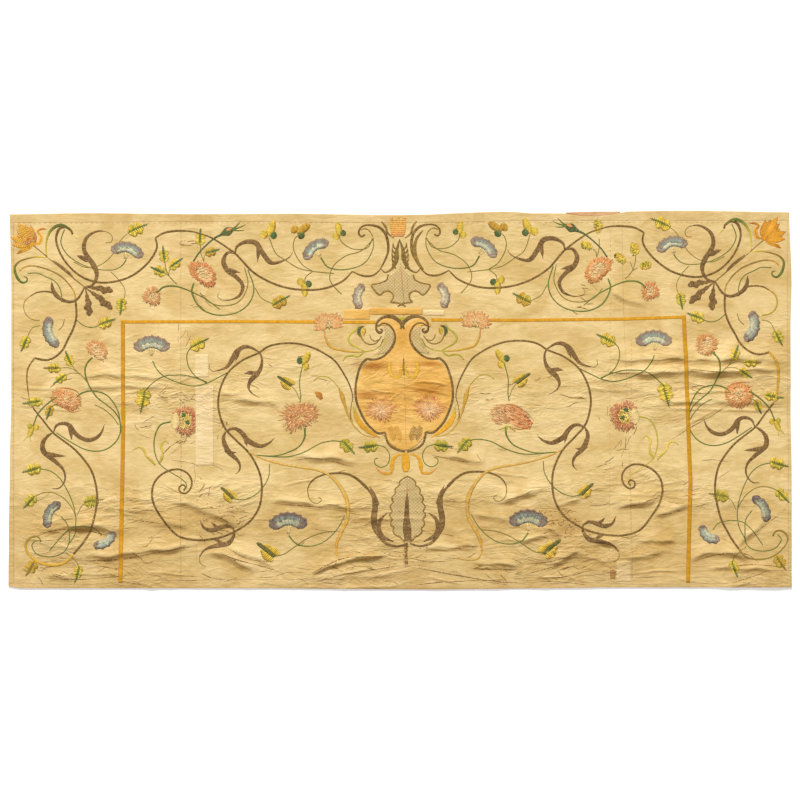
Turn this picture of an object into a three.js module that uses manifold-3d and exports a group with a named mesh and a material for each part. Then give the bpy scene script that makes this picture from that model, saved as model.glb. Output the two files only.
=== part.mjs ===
// Antique silk altar frontal, lying face up. Millimetres, +X to the right, +Y to the top edge, +Z up.
// The origin is on the surface it lies on, under the middle of the cloth.
import * as THREE from "three";
import { mergeVertices } from "three/addons/utils/BufferGeometryUtils.js";
import Module from "manifold-3d";

const wasm = await Module();
wasm.setup();

// Driving sizes.
const clothThickness = 2; // silk, linen backing and lining together
const trimThickness = 1; // braid, patch or applied satin
const gap = 0.3; // between neighbouring pieces, and under what is sewn on top
const braidWidth = 10;
const columnStep = 62; // spacing of the folded layer's columns
const rowStep = 20; // spacing of its rows, closer because most folds run across
const layerReach = { x: 1023, y: 496 };
const stations = { step: 40, first: -1990 }; // where outlines have their points

// Edges and seams, as rows of where along the line and how far out it lies.
const leftEdge = line([
  { at: -463, lies: -978 },
  { at: -350, lies: -977 },
  { at: -150, lies: -974.5 },
  { at: 0, lies: -971 },
  { at: 275, lies: -971 },
  { at: 462, lies: -974.5 },
]);
const rightEdge = line([
  { at: -190, lies: 978 },
  { at: 0, lies: 975 },
  { at: 180, lies: 975 },
  { at: 292, lies: 978 },
  { at: 470, lies: 972 },
]);
const topEdge = line([
  { at: -975, lies: 464 },
  { at: -782, lies: 467 },
  { at: -500, lies: 464.5 },
  { at: -277, lies: 465.5 },
  { at: 0, lies: 462 },
  { at: 270, lies: 470.5 },
  { at: 335, lies: 466 },
  { at: 490, lies: 470.5 },
  { at: 730, lies: 473 },
  { at: 975, lies: 469 },
]);
const bottomEdge = line([
  { at: -978, lies: -463 },
  { at: -966, lies: -470 },
  { at: -425, lies: -470 },
  { at: 90, lies: -473 },
  { at: 400, lies: -470 },
  { at: 500, lies: -468 },
]);
const leftStitching = line([{ at: 0, lies: -964.5 }]);
const rightStitching = line([
  { at: -200, lies: 970 },
  { at: 100, lies: 967.5 },
]);
const topStitching = line([
  { at: -975, lies: 443 },
  { at: -400, lies: 445 },
  { at: 0, lies: 442 },
  { at: 400, lies: 448 },
]);
// The bottom band widens where the ground has pulled up from it at the centre and in the right corner.
const bottomStitching = line([
  { at: -975, lies: -458 },
  { at: -800, lies: -462 },
  { at: -600, lies: -451 },
  { at: -190, lies: -448 },
  { at: 10, lies: -414 },
  { at: 50, lies: -414 },
  { at: 210, lies: -450 },
  { at: 380, lies: -459 },
  { at: 500, lies: -457 },
  { at: 560, lies: -461 },
  { at: 790, lies: -460 },
  { at: 920, lies: -427 },
]);
const leftSeam = line([{ at: 0, lies: -547 }]);
const centreSeam = line([{ at: 0, lies: 10 }]);
const rightSeam = line([
  { at: -460, lies: 580 },
  { at: 460, lies: 555 },
]);

// Lining that has rolled out over a worn stretch of the top edge.
const lining = { from: 402, to: 562, inset: 12, showing: 12 };

// Folds that the cloth keeps. from and to are the ends of a crest, bow is how far its middle
// leans towards the top edge, high is its height, and above and below are the runs of its slopes.
const folds = [
  { from: [495, 102], to: [985, 100], bow: 2, high: 8, above: 28, below: 19 },
  { from: [500, 70], to: [985, 79], bow: -3, high: 9, above: 17, below: 22 },
  { from: [610, -6], to: [985, -8], bow: 2, high: 4, above: 18, below: 14 },
  { from: [-815, 62], to: [-575, 58], bow: 1, high: 4, above: 19, below: 15 },
  { from: [-805, 34], to: [-580, 34], bow: -1, high: 4, above: 16, below: 15 },
  { from: [-910, -324], to: [-685, -332], bow: 14, high: 8, above: 24, below: 20 },
  { from: [-815, -388], to: [-495, -352], bow: -10, high: 8, above: 22, below: 19 },
  { from: [-888, -440], to: [-810, -443], bow: 1, high: 4, above: 18, below: 16 },
  { from: [-575, -249], to: [-392, -314], bow: 4, high: 6, above: 20, below: 18 },
  { from: [-600, -304], to: [-530, -316], bow: 2, high: 4, above: 17, below: 15 },
  { from: [-480, -370], to: [-356, -434], bow: 5, high: 7, above: 20, below: 18 },
  { from: [-438, -364], to: [-296, -432], bow: 8, high: 5, above: 18, below: 16 },
  { from: [-232, -436], to: [-22, -388], bow: 14, high: 6, above: 18, below: 16 },
  { from: [-328, -260], to: [-206, -263], bow: 10, high: 6, above: 19, below: 18 },
  { from: [-228, -264], to: [-58, -268], bow: 1, high: 4, above: 17, below: 16 },
  { from: [-422, 2], to: [-296, -14], bow: 4, high: 6, above: 20, below: 19 },
  { from: [-454, 20], to: [-382, 12], bow: 2, high: 4, above: 16, below: 14 },
  { from: [-272, -138], to: [-96, -158], bow: 5, high: 7, above: 22, below: 21 },
  { from: [242, -258], to: [374, -216], bow: 3, high: 7, above: 21, below: 19 },
  { from: [108, -142], to: [220, -154], bow: 2, high: 5, above: 19, below: 17 },
  { from: [182, -286], to: [278, -304], bow: 3, high: 5, above: 18, below: 16 },
  { from: [326, -316], to: [408, -336], bow: 3, high: 5, above: 18, below: 17 },
  { from: [366, -414], to: [458, -374], bow: 2, high: 6, above: 19, below: 18 },
  { from: [52, -368], to: [198, -366], bow: 3, high: 5, above: 17, below: 16 },
  { from: [172, -408], to: [306, -414], bow: 5, high: 6, above: 19, below: 17 },
  { from: [532, -268], to: [650, -238], bow: -3, high: 6, above: 20, below: 18 },
  { from: [632, -294], to: [728, -260], bow: 2, high: 5, above: 18, below: 17 },
  { from: [716, -400], to: [890, -400], bow: 20, high: 8, above: 21, below: 19 },
  { from: [558, -396], to: [660, -384], bow: 2, high: 5, above: 18, below: 16 },
  { from: [826, -370], to: [934, -276], bow: -4, high: 5, above: 19, below: 18 },
  { from: [518, 272], to: [618, 232], bow: 2, high: 4, above: 18, below: 16 },
];
const foldTaper = 0.22; // share of a fold's length over which each end dies away

// A curve made straight between stations, so that neighbours that share it meet everywhere.
function faceted(curve) {
  return (at) => {
    const share = (at - stations.first) / stations.step;
    const from = stations.first + Math.floor(share) * stations.step;
    const ends = [curve(from), curve(from + stations.step)];
    return THREE.MathUtils.lerp(...ends, share - Math.floor(share));
  };
}

// A line that eases from row to row and is level beyond the first and last.
function line(rows) {
  return faceted((at) => {
    const next = rows.findIndex((row) => row.at > at);
    if (next === 0) return rows[0].lies;
    if (next < 0) return rows[rows.length - 1].lies;
    const [a, b] = [rows[next - 1], rows[next]];
    const share = THREE.MathUtils.smoothstep(at, a.at, b.at);
    return THREE.MathUtils.lerp(a.lies, b.lies, share);
  });
}

// Height that one fold gives the point (x, y).
function foldHeight(fold, x, y) {
  const along = [fold.to[0] - fold.from[0], fold.to[1] - fold.from[1]];
  const length = Math.hypot(...along);
  const [dx, dy] = [x - fold.from[0], y - fold.from[1]];
  const share = (dx * along[0] + dy * along[1]) / length ** 2;
  if (share <= 0 || share >= 1) return 0;
  const crest = fold.bow * 4 * share * (1 - share);
  const off = (along[0] * dy - along[1] * dx) / length - crest;
  const run = off / (off > 0 ? fold.above : fold.below);
  if (Math.abs(run) >= 1) return 0;
  const ends = Math.min(share, 1 - share) / foldTaper;
  const taper = THREE.MathUtils.smoothstep(ends, 0, 1);
  return fold.high * taper * (1 - run ** 2) ** 2;
}

// Height of the cloth's underside above the surface it lies on.
function height(x, y) {
  return folds.reduce((sum, fold) => sum + foldHeight(fold, x, y), 0);
}

// A manifold-3d solid of a closed geometry.
function solid(geometry) {
  const bare = new THREE.BufferGeometry();
  bare.setAttribute("position", geometry.getAttribute("position"));
  bare.setIndex(geometry.index);
  const merged = mergeVertices(bare);
  return new wasm.Manifold(
    new wasm.Mesh({
      numProp: 3,
      vertProperties: merged.attributes.position.array,
      triVerts: new Uint32Array(merged.index.array),
    }),
  );
}

// The whole folded layer between two heights above the underside, wider than any piece.
function foldedLayer(low, high) {
  const columns = Math.round((2 * layerReach.x) / columnStep);
  const rows = Math.round((2 * layerReach.y) / rowStep);
  const positions = [];
  for (const offset of [low, high])
    for (let row = 0; row <= rows; row++)
      for (let column = 0; column <= columns; column++) {
        const x = -layerReach.x + (2 * layerReach.x * column) / columns;
        const y = -layerReach.y + (2 * layerReach.y * row) / rows;
        positions.push(x, y, height(x, y) + offset);
      }
  const point = (side, row, column) =>
    (side * (rows + 1) + row) * (columns + 1) + column;
  const index = [];
  const quad = (a, b, c, d) => index.push(a, b, c, a, c, d);
  const wall = (rowA, columnA, rowB, columnB) =>
    quad(
      point(0, rowA, columnA),
      point(0, rowB, columnB),
      point(1, rowB, columnB),
      point(1, rowA, columnA),
    );
  for (let row = 0; row < rows; row++)
    for (let column = 0; column < columns; column++) {
      const corner = (side, r, c) => point(side, row + r, column + c);
      quad(corner(1, 0, 0), corner(1, 0, 1), corner(1, 1, 1), corner(1, 1, 0));
      // The underside is split along the same diagonal as the top, seen from below.
      index.push(corner(0, 0, 0), corner(0, 1, 1), corner(0, 0, 1));
      index.push(corner(0, 0, 0), corner(0, 1, 0), corner(0, 1, 1));
    }
  for (let column = 0; column < columns; column++) {
    wall(0, column, 0, column + 1);
    wall(rows, column + 1, rows, column);
  }
  for (let row = 0; row < rows; row++) {
    wall(row, columns, row + 1, columns);
    wall(row + 1, 0, row, 0);
  }
  const geometry = new THREE.BufferGeometry();
  geometry.setAttribute(
    "position",
    new THREE.Float32BufferAttribute(positions, 3),
  );
  geometry.setIndex(index);
  return solid(geometry);
}

const clothLayer = foldedLayer(0, clothThickness);
const trimLayer = foldedLayer(
  clothThickness + gap,
  clothThickness + gap + trimThickness,
);
const cutterHeight = 60;

// A named piece cut from a layer along an outline.
function cut(layer, name, outline, material) {
  const shape = Array.isArray(outline) ? new THREE.Shape(outline) : outline;
  const cutter = new THREE.ExtrudeGeometry(shape, {
    depth: cutterHeight,
    bevelEnabled: false,
    curveSegments: 6,
  }).translate(0, 0, -cutterHeight / 4);
  const piece = layer.intersect(solid(cutter)).getMesh();
  const geometry = new THREE.BufferGeometry();
  geometry.setAttribute(
    "position",
    new THREE.BufferAttribute(piece.vertProperties, 3),
  );
  geometry.setIndex(new THREE.BufferAttribute(piece.triVerts, 1));
  geometry.computeVertexNormals();
  const mesh = new THREE.Mesh(geometry, material);
  mesh.name = name;
  return mesh;
}

// The stations between two places, with both ends.
function stationsFrom(from, to) {
  const inner = [];
  const steps = Math.ceil((from - stations.first) / stations.step);
  let at = stations.first + steps * stations.step;
  for (; at < to - 1; at += stations.step) if (at > from + 1) inner.push(at);
  return [from, ...inner, to];
}

// Outline of a piece that lies between two upright and two level lines.
function between(left, right, lower, upper) {
  const corner = (upright, level) => {
    let x = upright(0);
    for (let pass = 0; pass < 4; pass++) x = upright(level(x));
    return [x, level(x)];
  };
  const [lowLeft, lowRight] = [corner(left, lower), corner(right, lower)];
  const [highLeft, highRight] = [corner(left, upper), corner(right, upper)];
  const across = (from, to, level) =>
    stationsFrom(from, to).map((x) => [x, level(x)]);
  const up = (from, to, upright) =>
    stationsFrom(from, to).map((y) => [upright(y), y]);
  const sides = [
    across(lowLeft[0], lowRight[0], lower),
    up(lowRight[1], highRight[1], right),
    across(highLeft[0], highRight[0], upper).reverse(),
    up(lowLeft[1], highLeft[1], left).reverse(),
  ];
  return sides
    .flatMap((side) => side.slice(0, -1))
    .map(([x, y]) => new THREE.Vector2(x, y));
}

// The same line moved half a gap up or right, or half a gap down or left.
const past = (edge) => (at) => edge(at) + gap / 2;
const before = (edge) => (at) => edge(at) - gap / 2;

const silk = material(0xedd092, 0.55);
const edging = material(0xe0bd80, 0.6);
const orangeSatin = material(0xf2bd66, 0.5);
const paleSilk = material(0xf4dcab, 0.55);
const goldBraid = material(0xd39d26, 0.45);
const liningCloth = material(0xe3aa78, 0.7);

function material(color, roughness) {
  return new THREE.MeshStandardMaterial({ color, roughness, metalness: 0 });
}

// Ground: two full widths of silk at the centre and a part width at each side.
function ground() {
  const panel = (name, left, right) => {
    const outline = between(
      past(left),
      before(right),
      past(bottomStitching),
      before(topStitching),
    );
    return cut(clothLayer, name, outline, silk);
  };
  return [
    panel("panel_outer_left", leftStitching, leftSeam),
    panel("panel_inner_left", leftSeam, centreSeam),
    panel("panel_inner_right", centreSeam, rightSeam),
    panel("panel_outer_right", rightSeam, rightStitching),
  ];
}

// How far the top band is worn back from the edge, where the lining shows.
function wornBack(x) {
  const share = (x - lining.from) / (lining.to - lining.from);
  if (share <= 0 || share >= 1) return 0;
  return lining.showing * Math.sin(Math.PI * share);
}

const bandTop = faceted((x) => topEdge(x) - wornBack(x));

// Bands sewn round the edge.
function bands() {
  const inner = [past(bottomStitching), before(topStitching)];
  const shapes = {
    band_bottom: [leftEdge, rightEdge, bottomEdge, before(bottomStitching)],
    band_top: [leftEdge, rightEdge, past(topStitching), bandTop],
    band_left: [leftEdge, before(leftStitching), ...inner],
    band_right: [past(rightStitching), rightEdge, ...inner],
  };
  return Object.entries(shapes).map(([name, lines]) =>
    cut(clothLayer, name, between(...lines), edging),
  );
}

// The strip of lining that shows above the worn stretch of the top band.
function liningEdge() {
  const left = () => lining.from + lining.inset;
  const right = () => lining.to - lining.inset;
  const lower = (x) => bandTop(x) + gap;
  const outline = between(left, right, lower, topEdge);
  return [cut(clothLayer, "lining_edge", outline, liningCloth)];
}

// Braid up each side and along the top of the centre field, folded at the corner.
// Rows give the middle line of the braid from the hem up and round to the cartouche.
const braids = {
  braid_left: [
    [-698, -456],
    [-691, -60],
    [-692, 195],
    [-400, 196],
    [-62, 194],
  ],
  braid_right: [
    [719, -456],
    [725, -200],
    [716, 30],
    [709, 207],
    [550, 202],
    [300, 199],
    [78, 200],
  ],
};

// Outline of a strip of even width along a bent middle line.
function stripAlong(route, width) {
  const points = route.map(([x, y]) => new THREE.Vector2(x, y));
  const side = (away) =>
    points.map((point, i) => {
      const to = points[Math.min(i + 1, points.length - 1)];
      const from = points[Math.max(i - 1, 0)];
      const into = point.clone().sub(from).normalize();
      const out = to.clone().sub(point).normalize();
      const run = into.clone().add(out).normalize();
      const across = new THREE.Vector2(-run.y, run.x);
      const bend = into.length() && out.length() ? into.dot(run) : 1;
      return point.clone().addScaledVector(across, (away * width) / 2 / bend);
    });
  return [...side(1), ...side(-1).reverse()].reverse();
}

function braid() {
  return Object.entries(braids).map(([name, route]) =>
    cut(trimLayer, name, stripAlong(route, braidWidth), goldBraid),
  );
}

// The orange satin ground of the cartouche: two lobes over a waisted shield, on its own axis.
// Each row is one curve of the right half, from the notch down to the foot.
const cartouche = {
  axis: 11,
  notch: 180,
  curves: [
    { leaving: [14, 203], arriving: [38, 211], to: [52, 203] },
    { leaving: [62, 198], arriving: [68, 190], to: [66, 182] },
    { leaving: [48, 192], arriving: [28, 182], to: [24, 162] },
    { leaving: [20, 142], arriving: [36, 112], to: [62, 104] },
    { leaving: [98, 104], arriving: [118, 60], to: [122, 22] },
    { leaving: [122, -30], arriving: [92, -76], to: [62, -84] },
    { leaving: [44, -88], arriving: [40, -122], to: [0, -127] },
  ],
};

function cartoucheShape() {
  const { axis, notch, curves } = cartouche;
  const shape = new THREE.Shape();
  const curve = (side, a, b, to) =>
    shape.bezierCurveTo(
      axis + side * a[0],
      a[1],
      axis + side * b[0],
      b[1],
      axis + side * to[0],
      to[1],
    );
  shape.moveTo(axis, notch);
  curves.forEach((row) => curve(1, row.leaving, row.arriving, row.to));
  const starts = [[0, notch], ...curves.map((row) => row.to)];
  curves
    .map((row, i) => [row.arriving, row.leaving, starts[i]])
    .reverse()
    .forEach((row) => curve(-1, ...row));
  return shape;
}

function rectangle({ left, lower, right, upper }) {
  return [
    new THREE.Vector2(left, lower),
    new THREE.Vector2(right, lower),
    new THREE.Vector2(right, upper),
    new THREE.Vector2(left, upper),
  ];
}

// Satin and silk sewn on later, over worn places.
const satinStrips = {
  orange_strip_left: { left: -140, lower: 201, right: -76, upper: 226 },
  orange_strip_middle: { left: -75, lower: 213, right: 56, upper: 230 },
};
const palePatches = {
  patch_tall: { left: -511, lower: -163, right: -465, upper: 33 },
  patch_small: { left: -512, lower: 57, right: -478, upper: 114 },
  patch_top: { left: 58, lower: 211, right: 111, upper: 225 },
  patch_hem: { left: 541, lower: -453, right: 577, upper: -401 },
};

function applied() {
  const pieces = (sizes, look) =>
    Object.entries(sizes).map(([name, size]) =>
      cut(trimLayer, name, rectangle(size), look),
    );
  return [
    cut(trimLayer, "cartouche_ground", cartoucheShape(), orangeSatin),
    ...pieces(satinStrips, orangeSatin),
    ...pieces(palePatches, paleSilk),
  ];
}

const frontal = new THREE.Group();
frontal.add(...ground(), ...bands(), ...liningEdge(), ...braid(), ...applied());

export default frontal;
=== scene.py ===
# An antique embroidered silk altar frontal, lying face up on a pale floor and seen from above.
# Sizes are in millimetres in the part's own frame, and become metres where meshes are made.
import copy
import math
from collections import namedtuple

import bmesh
import bpy
import numpy as np
from mathutils.geometry import delaunay_2d_cdt
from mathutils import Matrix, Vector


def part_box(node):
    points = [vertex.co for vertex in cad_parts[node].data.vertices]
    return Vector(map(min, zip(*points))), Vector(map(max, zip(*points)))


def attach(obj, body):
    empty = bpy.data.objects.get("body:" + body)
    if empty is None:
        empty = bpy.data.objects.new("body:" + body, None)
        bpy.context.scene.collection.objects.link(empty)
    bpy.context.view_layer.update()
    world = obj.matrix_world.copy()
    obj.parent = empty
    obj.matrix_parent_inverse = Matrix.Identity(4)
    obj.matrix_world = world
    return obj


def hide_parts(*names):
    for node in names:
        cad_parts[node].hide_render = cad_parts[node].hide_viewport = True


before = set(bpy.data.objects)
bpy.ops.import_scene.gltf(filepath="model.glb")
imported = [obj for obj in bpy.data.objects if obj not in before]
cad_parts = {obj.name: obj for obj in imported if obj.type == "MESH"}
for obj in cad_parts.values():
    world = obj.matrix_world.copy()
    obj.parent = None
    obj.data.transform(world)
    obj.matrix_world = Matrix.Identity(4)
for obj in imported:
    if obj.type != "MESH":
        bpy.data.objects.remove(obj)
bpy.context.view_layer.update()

MM = 0.001
CLOTH = 2.0  # thickness of the ground with its backing and lining
TRIM_GAP = 0.12  # under whatever is sewn on top
TRIM = 0.38  # thickness of satin and patches
ON_TRIM = TRIM_GAP + TRIM  # how high stitches stand that are worked over satin


def srgb(red, green, blue):
    """Screen colour, 0 to 255, as the linear colour that materials take."""
    share = np.array([red, green, blue]) / 255
    linear = np.where(share <= 0.04045, share / 12.92, ((share + 0.055) / 1.055) ** 2.4)
    return tuple(float(value) for value in linear)


def smoothstep(share):
    share = np.clip(share, 0, 1)
    return share * share * (3 - 2 * share)


# ---------------------------------------------------------------- the lie of the cloth

Fold = namedtuple("Fold", "x1 y1 x2 y2 bow high above below")

# The main folds, as in the solids: the ends of the crest, how far its middle leans towards the
# top edge, its height, and the runs of its slopes.
FOLDS = [Fold(*row) for row in (
    (495, 102, 985, 100, 2, 8, 28, 19), (500, 70, 985, 79, -3, 9, 17, 22), (610, -6, 985, -8, 2, 4, 18, 14),
    (-815, 62, -575, 58, 1, 4, 19, 15), (-805, 34, -580, 34, -1, 4, 16, 15),
    (-910, -324, -685, -332, 14, 8, 24, 20), (-815, -388, -495, -352, -10, 8, 22, 19),
    (-888, -440, -810, -443, 1, 4, 18, 16), (-575, -249, -392, -314, 4, 6, 20, 18),
    (-600, -304, -530, -316, 2, 4, 17, 15), (-480, -370, -356, -434, 5, 7, 20, 18),
    (-438, -364, -296, -432, 8, 5, 18, 16), (-232, -436, -22, -388, 14, 6, 18, 16),
    (-328, -260, -206, -263, 10, 6, 19, 18), (-228, -264, -58, -268, 1, 4, 17, 16),
    (-422, 2, -296, -14, 4, 6, 20, 19), (-454, 20, -382, 12, 2, 4, 16, 14),
    (-272, -138, -96, -158, 5, 7, 22, 21), (242, -258, 374, -216, 3, 7, 21, 19),
    (108, -142, 220, -154, 2, 5, 19, 17), (182, -286, 278, -304, 3, 5, 18, 16),
    (326, -316, 408, -336, 3, 5, 18, 17), (366, -414, 458, -374, 2, 6, 19, 18),
    (52, -368, 198, -366, 3, 5, 17, 16), (172, -408, 306, -414, 5, 6, 19, 17),
    (532, -268, 650, -238, -3, 6, 20, 18), (632, -294, 728, -260, 2, 5, 18, 17),
    (716, -400, 890, -400, 20, 8, 21, 19), (558, -396, 660, -384, 2, 5, 18, 16),
    (826, -370, 934, -276, -4, 5, 19, 18), (518, 272, 618, 232, 2, 4, 18, 16),
    (764, -418, 950, -426, 3, 5, 16, 12), (592, -356, 694, -350, 2, 5, 16, 14),
    (300, -352, 376, -340, 2, 4, 15, 13), (486, -350, 560, -372, 2, 5, 16, 14),
    (380, -262, 456, -250, 2, 4, 15, 13),
)]
# Hard creases that were pressed in while it was stored folded.
CREASES = [Fold(*row) for row in (
    (-580, -138, -535, -100, 1, 1.4, 5, 4), (-672, -373, -640, -402, -2, 1.2, 5, 4),
    (680, -88, 800, -18, 3, 1.5, 6, 4), (112, -88, 150, -78, 1, 1.2, 5, 4),
    (-228, -438, -34, -390, 14, 2.2, 9, 4), (62, -372, 190, -372, 1, 1.5, 6, 4),
    (-720, 10, -640, 24, 2, 1.4, 7, 4), (-620, 44, -560, 30, 2, 1.2, 6, 4),
    (-520, 62, -560, 44, 1, 1.2, 6, 4), (700, 16, 900, 20, 4, 2.2, 9, 5),
    (640, -22, 985, -30, 2, 1.6, 8, 4), (-960, 30, -820, 24, 2, 1.3, 8, 5),
    (-960, -12, -800, -30, 2, 1.2, 8, 5), (30, 26, 130, 12, 4, 2.0, 8, 4), (24, 46, 128, 36, 3, 1.8, 7, 4),
    (26, 2, 128, -6, -3, 1.6, 7, 4), (-60, 20, 10, 12, 4, 1.5, 7, 4), (-100, 8, -20, 2, 1, 1.5, 8, 4),
    (420, 8, 470, 6, 2, 1.6, 7, 4), (-690, 150, -650, 166, 1, 1.0, 6, 4),
    (177, -420, 294, -422, 1, 1.8, 7, 4), (42, -440, 160, -462, 3, 1.6, 6, 4),
    (330, -440, 470, -452, 3, 1.5, 6, 4), (-225, -437, -147, -402, 2, 1.8, 7, 4),
    (-150, -402, -28, -390, 4, 2.0, 7, 4), (-190, -446, -6, -416, 6, 1.8, 7, 4),
    (-880, -440, -700, -436, 4, 1.6, 7, 4), (-640, -430, -520, -440, 2, 1.6, 6, 4),
    (560, -436, 700, -426, 3, 1.8, 7, 4), (-300, -214, -190, -196, 2, 1.3, 7, 4),
    (220, -180, 330, -196, 2, 1.3, 7, 4), (-480, -150, -420, -170, 1, 1.2, 6, 4),
)]
FOLD_TAPER = 0.22  # share of a fold's length over which each end dies away
FOLD_WAVER = 4.0
CREASE_WAVER = 1.5
# A fold is a broad soft rise with a crisp one on it: shares of its height and of its slopes above and below.
FOLD_RISES = ((0.68, 1.9, 0.8), (0.3, 0.7, 0.28))
# Ridges of the crumpled silk: seed, cells across and up, height and sharpness.
RIPPLES = ((31, 120, 34, 3.0, 2.2), (34, 75, 21, 1.9, 2.6), (32, 46, 13, 0.8, 3.0), (33, 26, 8, 0.2, 3.0))


def between(values, at_x, at_y, eased=False):
    """Values of a raster at places between its own points."""
    x0 = np.clip(at_x.astype(int), 0, values.shape[1] - 2)
    y0 = np.clip(at_y.astype(int), 0, values.shape[0] - 2)
    fx, fy = at_x - x0, at_y - y0
    if eased:
        fx, fy = smoothstep(fx), smoothstep(fy)
    lower = values[y0, x0] * (1 - fx) + values[y0, x0 + 1] * fx
    upper = values[y0 + 1, x0] * (1 - fx) + values[y0 + 1, x0 + 1] * fx
    return lower * (1 - fy) + upper * fy


class Relief:
    """Height of the cloth's underside over the whole lie, kept on a fine raster."""

    step = 1.5
    reach = (1020.0, 520.0)

    def __init__(self):
        self.xs, self.ys = (np.arange(-reach, reach, self.step) for reach in self.reach)
        self.height = np.zeros((len(self.ys), len(self.xs)))

    def add_fold(self, fold, waver, seed):
        """Raises one fold, with its crest wandering by waver."""
        margin = max(fold.above, fold.below) + abs(fold.bow) + waver
        wide, tall = (
            slice(*np.searchsorted(places, (min(a, b) - margin, max(a, b) + margin)))
            for places, a, b in ((self.xs, fold.x1, fold.x2), (self.ys, fold.y1, fold.y2))
        )
        x, y = np.meshgrid(self.xs[wide], self.ys[tall])
        along = np.array([fold.x2 - fold.x1, fold.y2 - fold.y1])
        length = math.hypot(*along)
        dx, dy = x - fold.x1, y - fold.y1
        share = (dx * along[0] + dy * along[1]) / length**2
        run = share * length
        wander = waver * np.sin(run / 17 + seed) * np.sin(run / 41 + 2 * seed)
        crest = fold.bow * 4 * share * (1 - share) + wander
        off = (along[0] * dy - along[1] * dx) / length - crest
        slope = np.abs(off) / np.where(off > 0, fold.above, fold.below)
        taper = smoothstep(np.minimum(share, 1 - share) / FOLD_TAPER)
        rise = np.where(slope < 1, (1 - np.minimum(slope, 1) ** 2) ** 2, 0)
        swell = 1 + 0.22 * np.sin(run / 23 + 1.7 * seed) + 0.14 * np.sin(run / 9.7 + 3.1 * seed)
        self.height[tall, wide] += fold.high * swell * taper * rise

    def soft_noise(self, seed, across, up, bend=0.0):
        """Smooth noise from -1 to 1, its cells so many millimetres across and up, bent out of line."""
        x, y = np.meshgrid(self.xs, self.ys)
        if bend:
            x = x + bend * self.soft_noise(seed + 500, 1.3 * across, 3 * up)
            y = y + 0.6 * bend * self.soft_noise(seed + 900, 1.1 * across, 3 * up)
        columns = int(2 * self.reach[0] / across) + 8
        rows = int(2 * self.reach[1] / up) + 16
        lattice = np.random.default_rng(seed).uniform(-1, 1, (rows, columns))
        at_x = np.clip((x + self.reach[0]) / across + 2, 0, columns - 2)
        at_y = np.clip((y + self.reach[1]) / up + 6, 0, rows - 2)
        return between(lattice, at_x, at_y, eased=True)

    def add_crumple(self):
        """Wrinkles, mostly level, and most of them across the middle and the lower part."""
        x, y = np.meshgrid(self.xs, self.ys)
        wander = 30 * self.soft_noise(21, 110, 70)
        middle = np.exp(-(((y - 10 + wander) / 85) ** 2))
        lower = smoothstep((-150 - y - wander) / 110)
        patchy = smoothstep(0.5 + 1.1 * self.soft_noise(22, 190, 70, 40))
        amount = (0.2 + 0.6 * middle + 0.8 * lower) * (0.3 + 0.7 * patchy)
        cartouche = np.exp(-(((x - 10) / 120) ** 4) - ((y - 20) / 75) ** 4)
        amount = np.maximum(amount, 0.9 * cartouche)
        self.creased = np.clip(amount, 0, 1)
        for seed, across, up, high, sharp in RIPPLES:
            ridge = (1 - np.abs(self.soft_noise(seed, across, up, 0.4 * across))) ** sharp
            self.height += high * amount * ridge
        self.height += 0.5 * (1 + self.soft_noise(41, 260, 120))

    def add_painted_shade(self):
        """Painted shade, from 0 to 1, in the hollows and on the slopes that face away from the key light, and
        below 0 a painted highlight on the crests.
        """
        slope = np.gradient(self.height, self.step, axis=0)
        curve = np.gradient(slope, self.step, axis=0)
        self.painted_shade = np.clip(4.0 * curve + 0.9 * np.clip(slope - 0.08, 0, 0.8), -0.25, 1)

    def at(self, x, y, values):
        """What a raster of the lie says at points between its own."""
        at_x, at_y = ((np.asarray(place, float) + far) / self.step for place, far in zip((x, y), self.reach))
        return between(values, at_x, at_y)


relief = Relief()
for number, fold in enumerate(FOLDS):
    for high, above, below in FOLD_RISES:
        rise = fold._replace(high=fold.high * high, above=fold.above * above, below=fold.below * below)
        relief.add_fold(rise, FOLD_WAVER, number)
for number, crease in enumerate(CREASES):
    relief.add_fold(crease, CREASE_WAVER, number)
relief.add_crumple()
# Painted shade and highlight of the folds, kept on the raster of the lie.
relief.add_painted_shade()


def cloth_top(x, y):
    """Height of the embroidered face."""
    return CLOTH + relief.at(x, y, relief.height)


# ---------------------------------------------------------------- meshes

def build_mesh(name, points, faces, backs, look, tints, lay=None):
    """One object from points in millimetres, blocks of smooth faces and blocks of flat ones, with colours
    and, if given, stitch directions."""
    mesh = bpy.data.meshes.new(name)
    blocks = [np.atleast_2d(np.asarray(block, np.int32)) for block in (*faces, *backs)]
    rounded = [np.full(len(block), number < len(faces)) for number, block in enumerate(blocks)]
    counts = np.concatenate([np.full(len(block), block.shape[1], np.int32) for block in blocks])
    corners = np.concatenate([block.ravel() for block in blocks])
    starts = np.concatenate([[0], np.cumsum(counts)[:-1]]).astype(np.int32)
    mesh.vertices.add(len(points))
    mesh.vertices.foreach_set("co", (np.asarray(points) * MM).astype(np.float32).ravel())
    mesh.loops.add(len(corners))
    mesh.loops.foreach_set("vertex_index", corners)
    mesh.polygons.add(len(counts))
    mesh.polygons.foreach_set("loop_start", starts)
    mesh.polygons.foreach_set("use_smooth", np.concatenate(rounded))
    mesh.update(calc_edges=True)
    if lay is not None:
        layer = mesh.uv_layers.new(name="Lay")
        layer.data.foreach_set("uv", np.asarray(lay, np.float32)[corners].ravel())
    colours = mesh.color_attributes.new("Tint", "FLOAT_COLOR", "POINT")
    colours.data.foreach_set("color", np.asarray(tints, np.float32).ravel())
    mesh.materials.append(look)
    return linked(name, mesh)


def linked(name, data):
    """A new object in the scene."""
    made = bpy.data.objects.new(name, data)
    bpy.context.scene.collection.objects.link(made)
    return made


def settle(piece):
    """Says that a piece lies with the whole cloth."""
    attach(piece, "root")


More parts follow.
